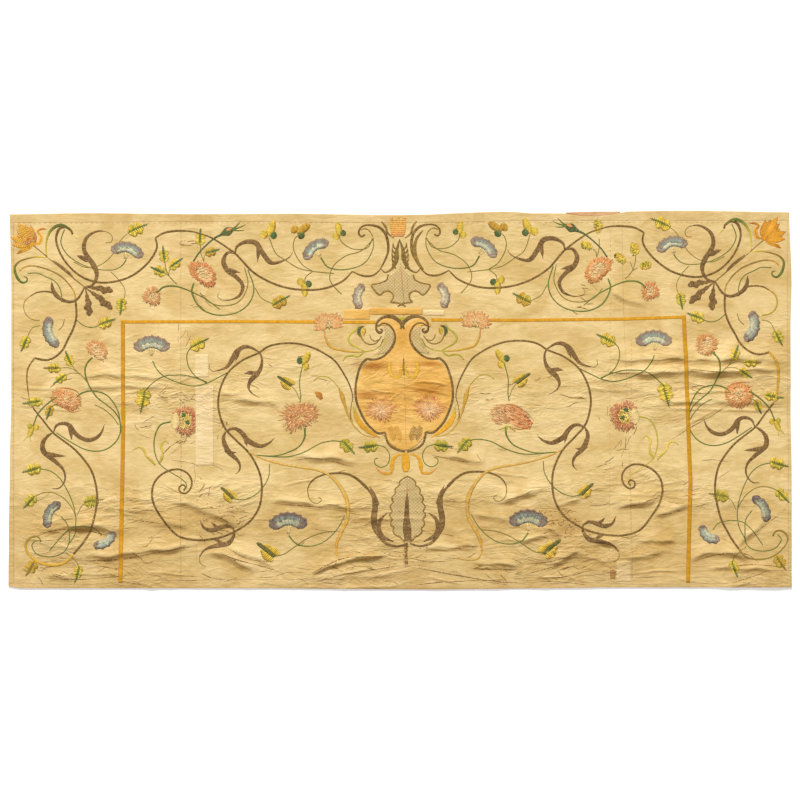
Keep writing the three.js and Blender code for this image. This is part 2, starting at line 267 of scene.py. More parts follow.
def grid_faces(rows, columns, start=0, turned=False):
    """Quads over a grid of points that are numbered row by row."""
    first = start + (np.arange(rows - 1)[:, None] * columns + np.arange(columns - 1)).ravel()
    quads = np.stack([first, first + 1, first + columns + 1, first + columns], axis=1)
    return quads[:, ::-1] if turned else quads


def rim_faces(rows, columns, under):
    """Quads round the rim of a grid that join it to the same grid numbered from under."""
    south = np.arange(columns)
    east = np.arange(rows) * columns + columns - 1
    north = (rows - 1) * columns + np.arange(columns)[::-1]
    west = (np.arange(rows) * columns)[::-1]
    loop = np.concatenate([south[:-1], east[:-1], north[:-1], west[:-1]])
    after = np.roll(loop, -1)
    return np.stack([loop, loop + under, after + under, after], axis=1)


# ---------------------------------------------------------------- sheets of cloth

def side_line(node, axis, sign):
    """One side of a CAD sheet as a function: for axis 0 it gives x from y, for axis 1 y from x."""
    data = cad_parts[node].data
    rows = {
        tuple(round(value / MM, 3) for value in data.vertices[corner].co[:2])
        for face in data.polygons
        if face.normal[axis] * sign > 0.7
        for corner in face.vertices
    }
    table = np.array(sorted(rows, key=lambda row: row[1 - axis]))
    return lambda at: np.interp(at, table[:, 1 - axis], table[:, axis])


EDGE_ROUND = 0.6
EDGE_FINE = [0, 0.3, 0.9, 2.4]  # distances from a rounded edge at which a sheet has points
LEAST_SHEET = 0.3  # how thin a sheet gets at its rounded edge


def spread(length, step):
    """Shares from 0 to 1 about a step apart, with a few finer ones at each end."""
    *ends, last = (value for value in EDGE_FINE if value < length / 3)
    count = max(2, round((length - 2 * last) / step))
    inner = np.linspace(last, length - last, count + 1)
    return np.concatenate([ends, inner, length - np.array(ends[::-1])]) / length


def rounded_down(distance):
    """How much lower the face is, so far from an edge that is rounded over."""
    left = np.clip(1 - distance / EDGE_ROUND, 0, 1)
    return 0.55 * CLOTH * (1 - np.sqrt(np.maximum(0, 1 - left**2)))


# Soft stretches of tone: the middle, the half widths and how the cloth's red, green and blue change.
TONES = [
    # The first two rows, across the whole width, are painted shade that darkens the lower part of the cloth.
    (0, -310, 1500, 55, (0.88, 0.83, 0.73)), (0, -415, 1500, 60, (0.9, 0.87, 0.82)),
    (-330, -400, 170, 45, (1.08, 1.11, 1.18)), (0, 420, 1500, 90, (0.96, 0.96, 0.96)),
    (690, -400, 240, 60, (0.94, 0.9, 0.83)), (600, -441, 30, 26, (0.98, 0.98, 0.97)),
    (0, -472, 2500, 5, (0.84, 0.76, 0.64)), (860, 60, 150, 60, (0.94, 0.92, 0.87)),
    (860, 260, 140, 160, (0.97, 0.96, 0.95)), (0, 260, 110, 120, (0.98, 0.97, 0.95)),
    (-600, 200, 90, 300, (1.02, 1.02, 1.03)), (640, -60, 100, 200, (1.02, 1.03, 1.04)),
    (-860, -120, 120, 100, (1.02, 1.02, 1.04)), (850, -130, 120, 100, (1.03, 1.04, 1.07)),
    (-455, -305, 55, 42, (0.86, 0.81, 0.73)), (405, -325, 60, 46, (0.87, 0.82, 0.75)),
    (-800, -395, 130, 26, (0.9, 0.87, 0.82)), (-78, 50, 46, 20, (1.04, 1.14, 1.32)),
    (-66, 84, 38, 10, (0.52, 0.34, 0.12)), (-80, 12, 38, 10, (0.54, 0.36, 0.14)),
    (76, 90, 34, 8, (0.64, 0.46, 0.2)), (74, 26, 46, 12, (0.76, 0.6, 0.36)),
    (10, 160, 14, 40, (0.93, 0.86, 0.7)),
]
PAINTED_SHADE_TAKES = (0.28, 0.44, 0.7)  # how much red, green and blue full painted shade takes away


def tones(x, y):
    """Tone of the cloth at points of the lie, with the painted shade and highlight of its folds, and as the
    fourth value how creased it is there.
    """
    made = np.ones((*x.shape, 4))
    for at_x, at_y, across, up, change in TONES:
        share = np.exp(-(((x - at_x) / across) ** 2) - ((y - at_y) / up) ** 2)[..., None]
        made[..., :3] *= 1 + (np.array(change) - 1) * share
    # Painted shade in the hollows and on the slopes facing away from the light, painted highlight on the
    # crests.
    painted_shade = relief.at(x, y, relief.painted_shade)[..., None]
    made[..., :3] *= 1 - np.array(PAINTED_SHADE_TAKES) * painted_shade
    made[..., 3] = relief.at(x, y, relief.creased)
    return made.reshape(-1, 4)


def cloth_sheet(name, look, step_x, step_y):
    """A closed sheet in the place of a CAD node, with its outline, on the lie of the cloth."""
    west, east = side_line(name, 0, -1), side_line(name, 0, 1)
    south, north = side_line(name, 1, -1), side_line(name, 1, 1)
    low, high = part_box(name)
    wide, tall = (high.x - low.x) / MM, (high.y - low.y) / MM
    across = spread(wide, step_x)[None, :]
    up = spread(tall, step_y)[:, None]
    x = np.broadcast_to(low.x / MM + wide * across, (up.shape[0], across.shape[1]))
    y = np.broadcast_to(low.y / MM + tall * up, x.shape)
    for _ in range(4):  # each pass draws the grid closer to all four sides at once
        x, y = west(y) + (east(y) - west(y)) * across, south(x) + (north(x) - south(x)) * up
    edge_x = np.minimum(across, 1 - across) * (east(y) - west(y))
    edge_y = np.minimum(up, 1 - up) * (north(x) - south(x))
    face = cloth_top(x, y) - rounded_down(edge_x) - rounded_down(edge_y)
    under = np.maximum(0, cloth_top(x, y) - CLOTH)
    under = np.maximum(np.minimum(under, face - LEAST_SHEET), 0)
    rows, columns = x.shape
    points = np.concatenate([np.stack([x, y, z], axis=2).reshape(-1, 3) for z in (face, under)])
    total = rows * columns
    backs = [grid_faces(rows, columns, total, turned=True), rim_faces(rows, columns, total)]
    paint = np.tile(tones(x, y), (2, 1))
    return build_mesh(name + "_cloth", points, [grid_faces(rows, columns)], backs, look, paint)


def outline(node):
    """The outline of a CAD trim piece in order, in millimetres."""
    shape = bmesh.new()
    shape.from_mesh(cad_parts[node].data)
    bmesh.ops.remove_doubles(shape, verts=shape.verts, dist=0.01 * MM)
    rims = [e for e in shape.edges if sum(f.normal.z > 0.5 for f in e.link_faces) == 1]
    rims = [e for e in rims if min(abs(f.normal.z) for f in e.link_faces) < 0.3]
    after = {}
    for edge in rims:
        a, b = edge.verts
        after.setdefault(a, []).append(b)
        after.setdefault(b, []).append(a)
    loop = [rims[0].verts[0]]
    before = None
    while True:
        ahead = [v for v in after[loop[-1]] if v is not before]
        before = loop[-1]
        if ahead[0] is loop[0]:
            break
        loop.append(ahead[0])
    points = np.array([(v.co.x / MM, v.co.y / MM) for v in loop])
    shape.free()
    x, y = points.T
    area = np.sum(x * np.roll(y, -1) - y * np.roll(x, -1))
    return points if area > 0 else points[::-1]


def inside(points, loop):
    """Which points lie inside a closed loop."""
    x, y = points.T
    crossed = np.zeros(len(points), bool)
    for (x1, y1), (x2, y2) in zip(loop, np.roll(loop, -1, axis=0)):
        if y1 == y2:
            continue
        hit = (y1 > y) != (y2 > y)
        crossed ^= hit & (x < (x2 - x1) * (y - y1) / (y2 - y1) + x1)
    return crossed


def rim_distance(points, loop):
    """Distance from points to a closed loop."""
    best = np.full(len(points), 1e9)
    for a, b in zip(loop, np.roll(loop, -1, axis=0)):
        along = b - a
        share = np.clip(((points - a) @ along) / max(along @ along, 1e-9), 0, 1)
        best = np.minimum(best, np.linalg.norm(points - a - share[:, None] * along, axis=1))
    return best


def even_loop(loop, step):
    """A closed loop with points about a step apart, keeping its corners."""
    made = []
    for a, b in zip(loop, np.roll(loop, -1, axis=0)):
        count = max(1, int(np.linalg.norm(b - a) / step + 0.5))
        made += [a + (b - a) * i / count for i in range(count)]
    return np.array(made)


PATCH_ROUND = 1.5  # how far in from its rim a thin patch is thinner
PATCH_CLEAR = 0.1  # how far its underside stands off the face


def filled(name, look, loop, step, lift, thick):
    """A thin closed sheet inside a loop, laid on the face."""
    loop = even_loop(loop, step)
    low, high = loop.min(0), loop.max(0)
    gx, gy = np.meshgrid(np.arange(low[0], high[0], step), np.arange(low[1], high[1], step * 0.8))
    gx[1::2] += step / 2
    inner = np.stack([gx.ravel(), gy.ravel()], axis=1)
    inner = inner[inside(inner, loop)]
    inner = inner[rim_distance(inner, loop) > step * 0.45]
    points = np.concatenate([loop, inner])
    edges = [(i, (i + 1) % len(loop)) for i in range(len(loop))]
    found = delaunay_2d_cdt([tuple(p) for p in points], edges, [], 1, 1e-5)
    flat = np.array([tuple(p) for p in found[0]])
    triangles = np.array(found[2])
    total = len(flat)
    near = rim_distance(flat, loop)
    base = cloth_top(*flat.T)
    face = base + lift + thick * (1 - 0.7 * np.clip(1 - near / PATCH_ROUND, 0, 1) ** 2)
    points = np.concatenate([np.column_stack([flat, z]) for z in (face, base + PATCH_CLEAR)])
    uses = {pair for a, b, c in triangles for pair in ((a, b), (b, c), (c, a))}
    walls = [(a, a + total, b + total, b) for a, b in uses if (b, a) not in uses]
    backs = [triangles[:, ::-1] + total, walls]
    paint = np.tile(tones(*flat.T), (2, 1))
    return build_mesh(name, points, [triangles], backs, look, paint)


def trim_sheet(name, look, step):
    """Satin or a patch sewn on the face in the place of a CAD node."""
    return filled(name + "_cloth", look, outline(name), step, TRIM_GAP, TRIM)


# ---------------------------------------------------------------- materials

class Look:
    """One procedural material, with short names for the shader nodes that it is made of."""

    def __init__(self, name, roughness, sheen=0.0, metal=0.0, specular=0.5):
        self.material = bpy.data.materials.new(name)
        self.material.use_nodes = True
        self.tree = self.material.node_tree
        self.shader = self.tree.nodes["Principled BSDF"]
        self.give(self.shader, {"Roughness": roughness, "Metallic": metal, "Specular IOR Level": specular,
                                "Sheen Weight": sheen, "Sheen Roughness": 0.35})

    def give(self, node, inputs):
        """Links or sets inputs of a node; a colour gets its fourth number."""
        for key, value in inputs.items():
            socket = node.inputs[key]
            if isinstance(value, bpy.types.NodeSocket):
                self.tree.links.new(value, socket)
            else:
                socket.default_value = (*value, 1) if socket.type == "RGBA" else value

    def add(self, kind, inputs=None, **settings):
        made = self.tree.nodes.new("ShaderNode" + kind)
        for key, value in settings.items():
            setattr(made, key, value)
        self.give(made, inputs or {})
        return made

    def maths(self, operation, *values):
        return self.add("Math", dict(enumerate(values)), operation=operation).outputs[0]

    def times(self, a, b):
        return self.maths("MULTIPLY", a, b)

    def plus(self, a, b):
        return self.maths("ADD", a, b)

    def minus(self, a, b):
        return self.maths("SUBTRACT", a, b)

    def scaled(self, value, by, plus):
        return self.maths("MULTIPLY_ADD", value, by, plus)

    def blend(self, share, a, b, kind="MIX"):
        """Colour b over colour a."""
        return self.add("Mix", {0: share, 6: a, 7: b}, data_type="RGBA", blend_type=kind).outputs[2]

    def steps(self, value, low, high):
        """0 below low, 1 above high and eased between."""
        inputs = {"Value": value, "From Min": low, "From Max": high}
        return self.add("MapRange", inputs, interpolation_type="SMOOTHSTEP").outputs["Result"]

    def place(self):
        return self.add("TexCoord").outputs["Object"]

    def noise(self, scale, detail=3.0, stretch=(1, 1, 1), rough=0.55, warp=0.0):
        """Noise over the cloth, with its cells stretched."""
        spot = self.add("Mapping", {"Vector": self.place(), "Scale": stretch}).outputs[0]
        inputs = {"Vector": spot, "Scale": scale, "Detail": detail, "Roughness": rough, "Distortion": warp}
        return self.add("TexNoise", inputs).outputs["Fac"]

    def finish(self, tone, height, strength, distance):
        """The colour and the bump, and with them the material."""
        bump = self.add("Bump", {"Height": height, "Strength": strength, "Distance": distance})
        self.give(self.shader, {"Base Color": tone, "Normal": bump.outputs[0]})
        return self.material


STAIN = srgb(202, 158, 92)
# The colour of the painted shade in the valleys of the small wrinkles.
CREASE_SHADE = srgb(170, 124, 62)
GROUND_TONE = srgb(228, 196, 131)


def satin_look(name, light, dark, roughness=0.5):
    """Aged silk satin: tones from the mesh, with the painted shade of the folds in them, mottling, stains, a
    fine rib, and small wrinkles with painted shade in their valleys.
    """
    look = Look(name, roughness, sheen=0.1, specular=0.22)
    cloudy = look.noise(7, 5, (1, 1.6, 1), 0.62, 0.8)
    tone = look.blend(look.steps(cloudy, 0.34, 0.62), dark, light)
    patches = look.noise(24, 5, (0.6, 1.7, 1), 0.65, 0.9)
    mottle = look.noise(95, 4, (0.7, 1.4, 1), 0.7)
    threads = look.noise(300, 2, (0.14, 1.5, 1), 0.5)
    fine = look.scaled(patches, 0.42, 0.62)
    fine = look.scaled(mottle, 0.3, fine)
    fine = look.scaled(threads, 0.06, fine)
    shade = look.add("CombineColor", {0: fine, 1: fine, 2: look.times(fine, fine)}).outputs[0]
    tone = look.blend(1.0, tone, shade, "MULTIPLY")
    mesh_tone = look.add("Attribute", attribute_name="Tint")
    creased = mesh_tone.outputs["Alpha"]
    tone = look.blend(1.0, tone, mesh_tone.outputs["Color"], "MULTIPLY")
    stained = look.steps(look.noise(3.4, 6, (1, 1.5, 1), 0.75, 1.2), 0.58, 0.74)
    tone = look.blend(look.times(stained, 0.28), tone, STAIN)
    height = look.times(threads, 0.04)
    # Painted shade: where the cloth is creased, the wrinkles' valleys, where the bump dips lowest, are
    # darkened.
    painted_crease_shade = 0.0
    for scale, high in ((20, 1.5), (46, 0.55)):
        lines = look.noise(scale, 3, (0.6, 1.4, 1), 0.5, 2.0)
        crumple = look.maths("ABSOLUTE", look.scaled(lines, 2.0, -1.0))
        deep = look.minus(1.0, look.steps(crumple, 0.0, 0.05))
        painted_crease_shade = look.maths("MAXIMUM", painted_crease_shade, look.times(deep, creased))
        crumple = look.times(crumple, look.scaled(creased, high, 0.25 * high))
        height = look.plus(height, crumple)
    tone = look.blend(look.times(painted_crease_shade, 0.22), tone, CREASE_SHADE)
    return look.finish(tone, height, 1.0, 0.0022)


def thread_look(name, pitch, roughness, sheen, metal, contrast, depth, fleck, flecks):
    """Embroidery: the thread colour from the mesh, lines between threads from the lay of the stitches,
    and paler flecks where the light catches a thread."""
    look = Look(name, roughness, sheen, metal, specular=0.12)
    tint = look.add("Attribute", attribute_name="Tint")
    lay = look.add("UVMap", uv_map="Lay").outputs[0]
    run = look.add("SeparateXYZ", {"Vector": lay}).outputs[0]
    across = look.plus(run, look.times(look.noise(180, 2), pitch * 1.1))
    lines = []
    for width in (pitch, 3.1 * pitch):
        turn = look.times(across, 2 * math.pi / width)
        lines.append(look.scaled(look.maths("SINE", turn), 0.5, 0.5))
    thread = look.plus(look.times(lines[0], 0.4), look.times(lines[1], 0.6))
    shade = look.scaled(thread, contrast, 1.04 - 0.6 * contrast)
    patchy = look.scaled(look.noise(150, 4, rough=0.7), 0.9, 0.55)
    shade = look.times(shade, patchy)
    aged = [look.times(shade, share) for share in (1.1, 0.98, 0.66)]
    grey = look.add("CombineColor", dict(enumerate(aged))).outputs[0]
    tone = look.blend(1.0, tint.outputs["Color"], grey, "MULTIPLY")
    bright = look.steps(look.noise(260, 3, rough=0.7), 0.5, 0.68)
    tone = look.blend(look.times(bright, flecks), tone, fleck)
    grain = look.noise(330, 3, rough=0.6)
    worn = look.scaled(tint.outputs["Alpha"], 0.62, 0.22)
    bare = look.minus(1.0, look.steps(grain, look.minus(worn, 0.03), look.plus(worn, 0.03)))
    tone = look.blend(bare, tone, GROUND_TONE)
    return look.finish(tone, thread, depth, 0.0003)


NET_PITCH = 0.0085  # in metres, as all that a material measures


def net_look():
    """Couched netting: crossing dark threads over the satin."""
    look = Look("netting", 0.5, sheen=0.2)
    spot = look.add("SeparateXYZ", {"Vector": look.place()})
    waver = look.times(look.noise(60, 2), 0.003)
    lines = []
    for lean in (1.0, -1.0):
        run = look.scaled(spot.outputs[1], lean, spot.outputs[0])
        run = look.times(look.plus(run, waver), 2 * math.pi / NET_PITCH)
        lines.append(look.steps(look.maths("SINE", run), 0.5, 0.95))
    mesh = look.maths("MAXIMUM", *lines)
    fade = look.scaled(look.noise(34, 4), 0.9, 0.15)
    worn = look.steps(look.noise(12, 5, (1, 1.5, 1), 0.7), 0.42, 0.62)
    tone = look.blend(worn, srgb(226, 194, 130), srgb(214, 184, 120))
    tone = look.blend(look.times(mesh, fade), tone, srgb(164, 134, 76))
    return look.finish(tone, mesh, 0.6, 0.0005)


LOOKS = {
    "silk_satin": satin_look("ground satin", srgb(239, 208, 143), srgb(222, 186, 116)),
    "edge_band": satin_look("edge band", srgb(234, 202, 138), srgb(219, 182, 114)),
    "orange_satin": satin_look("orange satin", srgb(246, 194, 106), srgb(230, 170, 74)),
    "pale_silk": satin_look("pale silk", srgb(248, 219, 164), srgb(242, 210, 150)),
    "lining": satin_look("peach lining", srgb(228, 178, 126), srgb(212, 156, 104), 0.6),
    "backing": satin_look("bare backing", srgb(192, 146, 86), srgb(172, 124, 68), 0.6),
}
SILK_THREAD = thread_look("embroidery silk", 1.2, 0.5, 0.05, 0.0, 0.4, 0.6, srgb(238, 214, 150), 0.25)
METAL_THREAD = thread_look("tarnished metal cord", 1.9, 0.5, 0.0, 0.1, 0.75, 0.8, srgb(200, 164, 100), 0.7)
BRAID_THREAD = thread_look("gold braid", 1.8, 0.55, 0.05, 0.0, 0.14, 0.5, srgb(224, 172, 66), 0.4)
NETTING = net_look()

# ---------------------------------------------------------------- embroidery strokes

def toward(a, b, start, stop, at):
    """The point on the line from a at start to b at stop, and on beyond them."""
    return (stop - at) / (stop - start) * a + (at - start) / (stop - start) * b


def smooth_line(points, step):
    """A smooth curve through given points, with a point about every step."""
    dense = np.asarray(points, float)
    if len(points) > 2:
        ends = np.vstack([2 * dense[0] - dense[1], dense, 2 * dense[-1] - dense[-2]])
        knots = np.concatenate([[0], np.cumsum(np.sqrt(np.linalg.norm(np.diff(ends, axis=0), axis=1)))])
        spans = []
        for i in range(len(points) - 1):
            t0, t1, t2, t3 = knots[i : i + 4]
            p0, p1, p2, p3 = ends[i : i + 4]
            t = np.linspace(t1, t2, 12, endpoint=False)[:, None]
            middle = toward(p1, p2, t1, t2, t)
            before = toward(toward(p0, p1, t0, t1, t), middle, t0, t2, t)
            after = toward(middle, toward(p2, p3, t2, t3, t), t1, t3, t)
            spans.append(toward(before, after, t1, t2, t))
        dense = np.vstack([*spans, dense[-1:]])
    run = np.concatenate([[0], np.cumsum(np.linalg.norm(np.diff(dense, axis=0), axis=1))])
    even = np.linspace(0, run[-1], max(3, int(run[-1] / step) + 1))
    return np.column_stack([np.interp(even, run, values) for values in dense.T])


def along_list(values, shares):
    """A short list of values eased along 0 to 1."""
    values = np.atleast_1d(np.asarray(values, float))
    if len(values) == 1:
        return np.full(len(shares), values[0])
    place = np.asarray(shares) * (len(values) - 1)
    low = np.clip(place.astype(int), 0, len(values) - 2)
    share = smoothstep(place - low)
    return values[low] * (1 - share) + values[low + 1] * share


# Sections of a stroke from one edge to the other: places in half widths, and heights.
DOME = ([-1, -0.6, 0, 0.6, 1], [0, 0.8, 1, 0.8, 0])
CORDS = ([-1, -0.75, -0.4, 0, 0.4, 0.75, 1], [0, 0.8, 0.9, 0.4, 0.9, 0.8, 0])
WIDE = ([-1, -0.85, -0.5, 0, 0.5, 0.85, 1], [0, 0.7, 0.95, 1, 0.95, 0.7, 0])
RIDGE = ([-1, 0, 1], [0, 1, 0])
WOVEN = ([-1, -0.8, -0.35, 0, 0.35, 0.8, 1], [0, 0.85, 0.7, 0.95, 0.7, 0.85, 0])

# Ways of laying a stroke: how thick it is, the step along it, its section and the lay of its threads.
Way = namedtuple("Way", "thick step section lay")
COUCHED = Way(0.7, 3.0, CORDS, "slant")
LAID = Way(0.6, 2.5, WIDE, "counter")
TWISTED = Way(0.5, 4.0, DOME, "slant")
FINE_TWIST = Way(0.25, 2.5, DOME, "slant")
SATIN = Way(0.4, 2.5, WIDE, "across")
THIN_SATIN = SATIN._replace(thick=0.3)
LONG_SATIN = SATIN._replace(thick=0.3, lay="along")
OUTLINE = Way(0.25, 2.5, RIDGE, "slant")
COUCHING = Way(0.4, 3.0, RIDGE, "across")
BROKEN = Way(0.05, 3.0, RIDGE, "across")
TACKED = Way(0.2, 2.0, RIDGE, "across")
BRAIDED = Way(0.5, 4.0, WOVEN, "slant")
HATCH_STEP = 5.0

LEAST_WIDE = 0.25  # of a stroke
CLEAR = 0.12  # how far a stroke's edges stand off the face
rng = np.random.default_rng(11)


class Stitching:
    """Stitches gathered into one joined mesh."""

    def __init__(self, name, look, slot):
        self.name, self.look, self.slot = name, look, slot
        self.points, self.faces, self.backs, self.lay, self.tints = [], [], [], [], []
        self.count = 0
        self.vary, self.speckle = (0.86, 1.12), 0.1

    def stroke(self, place, way, route, wide, tint, lift=0.0, worn=0.0, edge=None):
        """One stroke along a route: its widths, its colours along it and at its edges, and how worn it is."""
        line = place(smooth_line(route, way.step))
        count = len(line)
        shares = np.linspace(0, 1, count)
        ahead = np.gradient(line, axis=0)
        ahead /= np.maximum(np.linalg.norm(ahead, axis=1), 1e-9)[:, None]
        left_hand = np.column_stack([-ahead[:, 1], ahead[:, 0]])
        half = np.maximum(along_list(wide, shares), LEAST_WIDE) / 2
        offsets, rise = (np.array(values[::-1]) for values in way.section)
        xy = line[:, None, :] + left_hand[:, None, :] * (offsets[None, :, None] * half[:, None, None])
        body = np.minimum(1, half * 2 / 3)[:, None] * (0.75 * rise[None, :] * way.thick + 0.02)
        z = cloth_top(xy[..., 0], xy[..., 1]) + 0.7 * lift + body + CLEAR
        run = np.concatenate([[0], np.cumsum(np.linalg.norm(np.diff(line, axis=0), axis=1))])
        u = np.broadcast_to(run[:, None], z.shape)
        v = offsets[None, :] * half[:, None]
        lays = {"across": (u, v), "along": (v, u), "slant": (u + v, v), "counter": (u - v, v)}
        tints = np.atleast_2d(np.array(tint, float))
        colour = np.stack([along_list(tints[:, i], shares) for i in range(3)], axis=1)
        colour = np.repeat(colour[:, None, :], len(offsets), axis=1)
        if edge is not None:
            outer = (np.abs(offsets) ** 2)[None, :, None]
            colour = colour * (1 - outer) + np.array(edge) * outer
        colour = colour * rng.uniform(*self.vary) * rng.uniform(1 - self.speckle, 1 + self.speckle,
                                                                (count, 1, 1))
        alpha = np.full((*z.shape, 1), worn)
        width = len(offsets)
        ring = self.count + np.arange(count)[:, None] * width
        first, last = ring[:-1, 0], ring[1:, 0]
        self.faces.append(grid_faces(count, width, self.count))
        self.backs += [
            np.stack([last, last + width - 1, first + width - 1, first], axis=1),
            ring[:1, 0] + np.arange(width)[::-1],
            ring[-1:, 0] + np.arange(width),
        ]
        self.points.append(np.concatenate([xy, z[..., None]], axis=2).reshape(-1, 3))
        self.lay.append(np.stack(lays[way.lay], axis=2).reshape(-1, 2))
        self.tints.append(np.concatenate([colour, alpha], axis=2).reshape(-1, 4))
        self.count += count * width

    def finish(self):
        points, tints, lay = (np.concatenate(parts) for parts in (self.points, self.tints, self.lay))
        piece = build_mesh(self.name, points, self.faces, self.backs, self.look, tints, lay)
        settle(piece)
        return piece


# Thread colours.
BROWN = srgb(122, 97, 63)
TAUPE = srgb(126, 100, 74)
OLIVE_BROWN = srgb(146, 121, 70)
GREEN = srgb(100, 120, 62)
DARK_GREEN = srgb(84, 102, 70)
CUP_GREEN = srgb(84, 114, 80)
OLIVE = srgb(134, 126, 64)
YELLOW_GREEN = srgb(192, 184, 78)
YELLOW = srgb(232, 208, 94)
OCHRE = srgb(208, 168, 72)
ORANGE_YELLOW = srgb(226, 172, 52)
CREAM = srgb(234, 212, 172)
SALMON = srgb(222, 156, 112)
LIGHT_PINK = srgb(236, 190, 152)
RUST = srgb(204, 124, 84)
ROSE = srgb(206, 116, 92)
NET_BROWN = srgb(126, 106, 66)
MUSTARD = srgb(216, 162, 46)
DARK_MUSTARD = srgb(200, 146, 38)
UPRIGHT_MUSTARD = srgb(198, 148, 40)
STITCH_TAN = srgb(210, 174, 126)
SPLIT_BROWN = srgb(138, 99, 52)
# For specks of soil, and for the painted shadow lines along the wrinkles.
SPECK_AND_SHADOW_BROWN = srgb(142, 100, 48)
LOOP_YELLOW = srgb(232, 190, 70)
RIB_BROWN = srgb(198, 136, 62)
DARK_RIB = srgb(180, 116, 58)
CRIMSON = srgb(198, 102, 84)
DEEP_CRIMSON = srgb(180, 88, 74)
PALE_PINK = srgb(238, 202, 178)
PALE_CREAM = srgb(244, 226, 180)
DUSTY_PINK = srgb(216, 160, 122)
DUSTY_ROSE = srgb(196, 132, 98)
APRICOT = srgb(220, 152, 100)
# The blues of a fan from its rim to its heart, faded and kept.
FADED_BLUES = (srgb(146, 126, 128), srgb(150, 158, 168), srgb(150, 182, 200), srgb(214, 214, 204))
WORN_BLUES = (srgb(158, 134, 130), srgb(168, 160, 158), srgb(180, 184, 186), srgb(226, 216, 206))
KEPT_BLUES = (srgb(118, 100, 108), srgb(124, 128, 138), srgb(136, 156, 174), srgb(192, 194, 178))


# ---------------------------------------------------------------- the two halves of the design

def left(points):
    """The left half of the design, as it is written below."""
    return points


def centre_line(y):
    """Where the leaning middle line of the design lies."""
    return 11 - 0.03 * y


def right(points):
    """The right half mirrors the left about the middle line and sits a little higher."""
    x, y = points[:, 0], points[:, 1]
    across = 2 * (centre_line(y) - x)
    drawn_in = (6 + 13 * smoothstep((-330 - y) / 80)) * smoothstep((across - 1280) / 260)
    return np.column_stack([x + across - drawn_in, y + 0.011 * np.minimum(across, 1300)])


def flipped(points):
    """Mirrors points on the spot, for motifs on the middle line."""
    return np.column_stack([2 * centre_line(points[:, 1]) - points[:, 0], points[:, 1]])


def turned(at, degrees, points):
    """Points of a motif drawn round its own origin, turned and moved into place."""
    angle = math.radians(degrees)
    x, y = np.asarray(points, float).T
    return np.column_stack([
        at[0] + x * math.cos(angle) - y * math.sin(angle),
        at[1] + x * math.sin(angle) + y * math.cos(angle),
    ])


def heading(a, b):
    """The direction from a to b in degrees, and the distance."""
    return math.degrees(math.atan2(b[1] - a[1], b[0] - a[0])), math.dist(a, b)


CORD_SHARE = 0.86  # how much of its noted width a couched cord covers


class Side:
    """The threads of one half: what each kind of stitching is gathered into, and what is its own."""

    def __init__(self, name, place, **traits):
        self.name, self.place = name, place
        self.metal = Stitching(f"metal_cord_{name}", METAL_THREAD, "silk_satin")
        self.stems = Stitching(f"stems_{name}", SILK_THREAD, "silk_satin")
        self.leaves = Stitching(f"leaves_{name}", SILK_THREAD, "silk_satin")
        self.flowers = Stitching(f"flowers_{name}", SILK_THREAD, "silk_satin")
        self.nets = Stitching(f"netting_{name}", NETTING, "silk_satin")
        self.metal.vary, self.metal.speckle = (0.94, 1.06), 0.3
        vars(self).update(traits)

    def mirrored(self):
        """The same threads, worked mirrored on the spot."""
        other = copy.copy(self)
        other.place = flipped
        return other

    def work(self, kind, way, route, wide, tint, lift=0.0, worn=0.0):
        """One stroke of a kind of stitching."""
        getattr(self, kind).stroke(self.place, way, route, wide, tint, lift, worn)

    def cord(self, route, wide=5.5, tint=BROWN, lift=0.0):
        """Couched metal cord, two laid side by side."""
        self.work("metal", COUCHED, route, CORD_SHARE * np.array(wide), tint, lift)

    def leaf_stroke(self, route, wide, tint=TAUPE, lift=0.2):
        """A broad brown leaf worked in laid metal thread."""
        self.work("metal", LAID, route, wide, tint, lift)

    def stem(self, route, wide=2.6, tint=GREEN, lift=0.1, worn=0.05):
        self.work("stems", TWISTED, route, wide, tint, lift, worn)


def hatch(side, ends, wide, tints, lift=0.1, worn=0.2, kind="leaves", thick=0.4):
    """One short straight stitch from its root to its tip."""
    root, tip = np.array(ends, float)
    way = Way(thick, HATCH_STEP, RIDGE, "along")
    side.work(kind, way, [root, (root + tip) / 2, tip], [0.6 * wide, wide, 0.62 * wide], tints, lift, worn)


def leaf(side, base, tip, tint=YELLOW, rib=CUP_GREEN, full=1.0):
    """A small lobed leaf of short pale stitches across a long dark rib that is toothed along its sides."""
    angle, long = heading(base, tip)
    for hand in (1, -1):
        for i in range(13):
            share = (i + rng.uniform(-0.2, 0.2)) / 12
            start = -0.14 + 0.8 * share
            wide = 0.4 * full * max(0.02, 1 - ((start - 0.26) / 0.46) ** 2) ** 0.4
            wide *= 0.62 + 0.4 * abs(math.sin(7.6 * (start + 0.155))) + rng.uniform(-0.03, 0.03)
            ends = turned(base, angle, [(start * long, 0), ((start + 0.05) * long, hand * wide * long)])
            colour = tint if rng.random() < 0.7 else YELLOW_GREEN
            tip_tint = OCHRE if rng.random() < 0.3 else colour
            hatch(side, ends, 0.115 * long, [colour, colour, tip_tint], 0.05, thick=0.15)
    route = turned(base, angle, [(-0.06 * long, 0), (0.45 * long, 0.03 * long), (1.08 * long, 0)])
    side.work("stems", FINE_TWIST, route, [1.4, 3.0, 4.2, 3.8, 1.2], rib, 0.25, 0.1)
    for share in np.arange(0.1, 0.95, 0.12):
        for hand in (1, -1):
            tooth = [(share * long, 0), ((share + 0.02) * long, hand * (0.13 - 0.05 * share) * long)]
            hatch(side, turned(base, angle, tooth), 1.9, rib, 0.3, 0.2, "stems", 0.2)


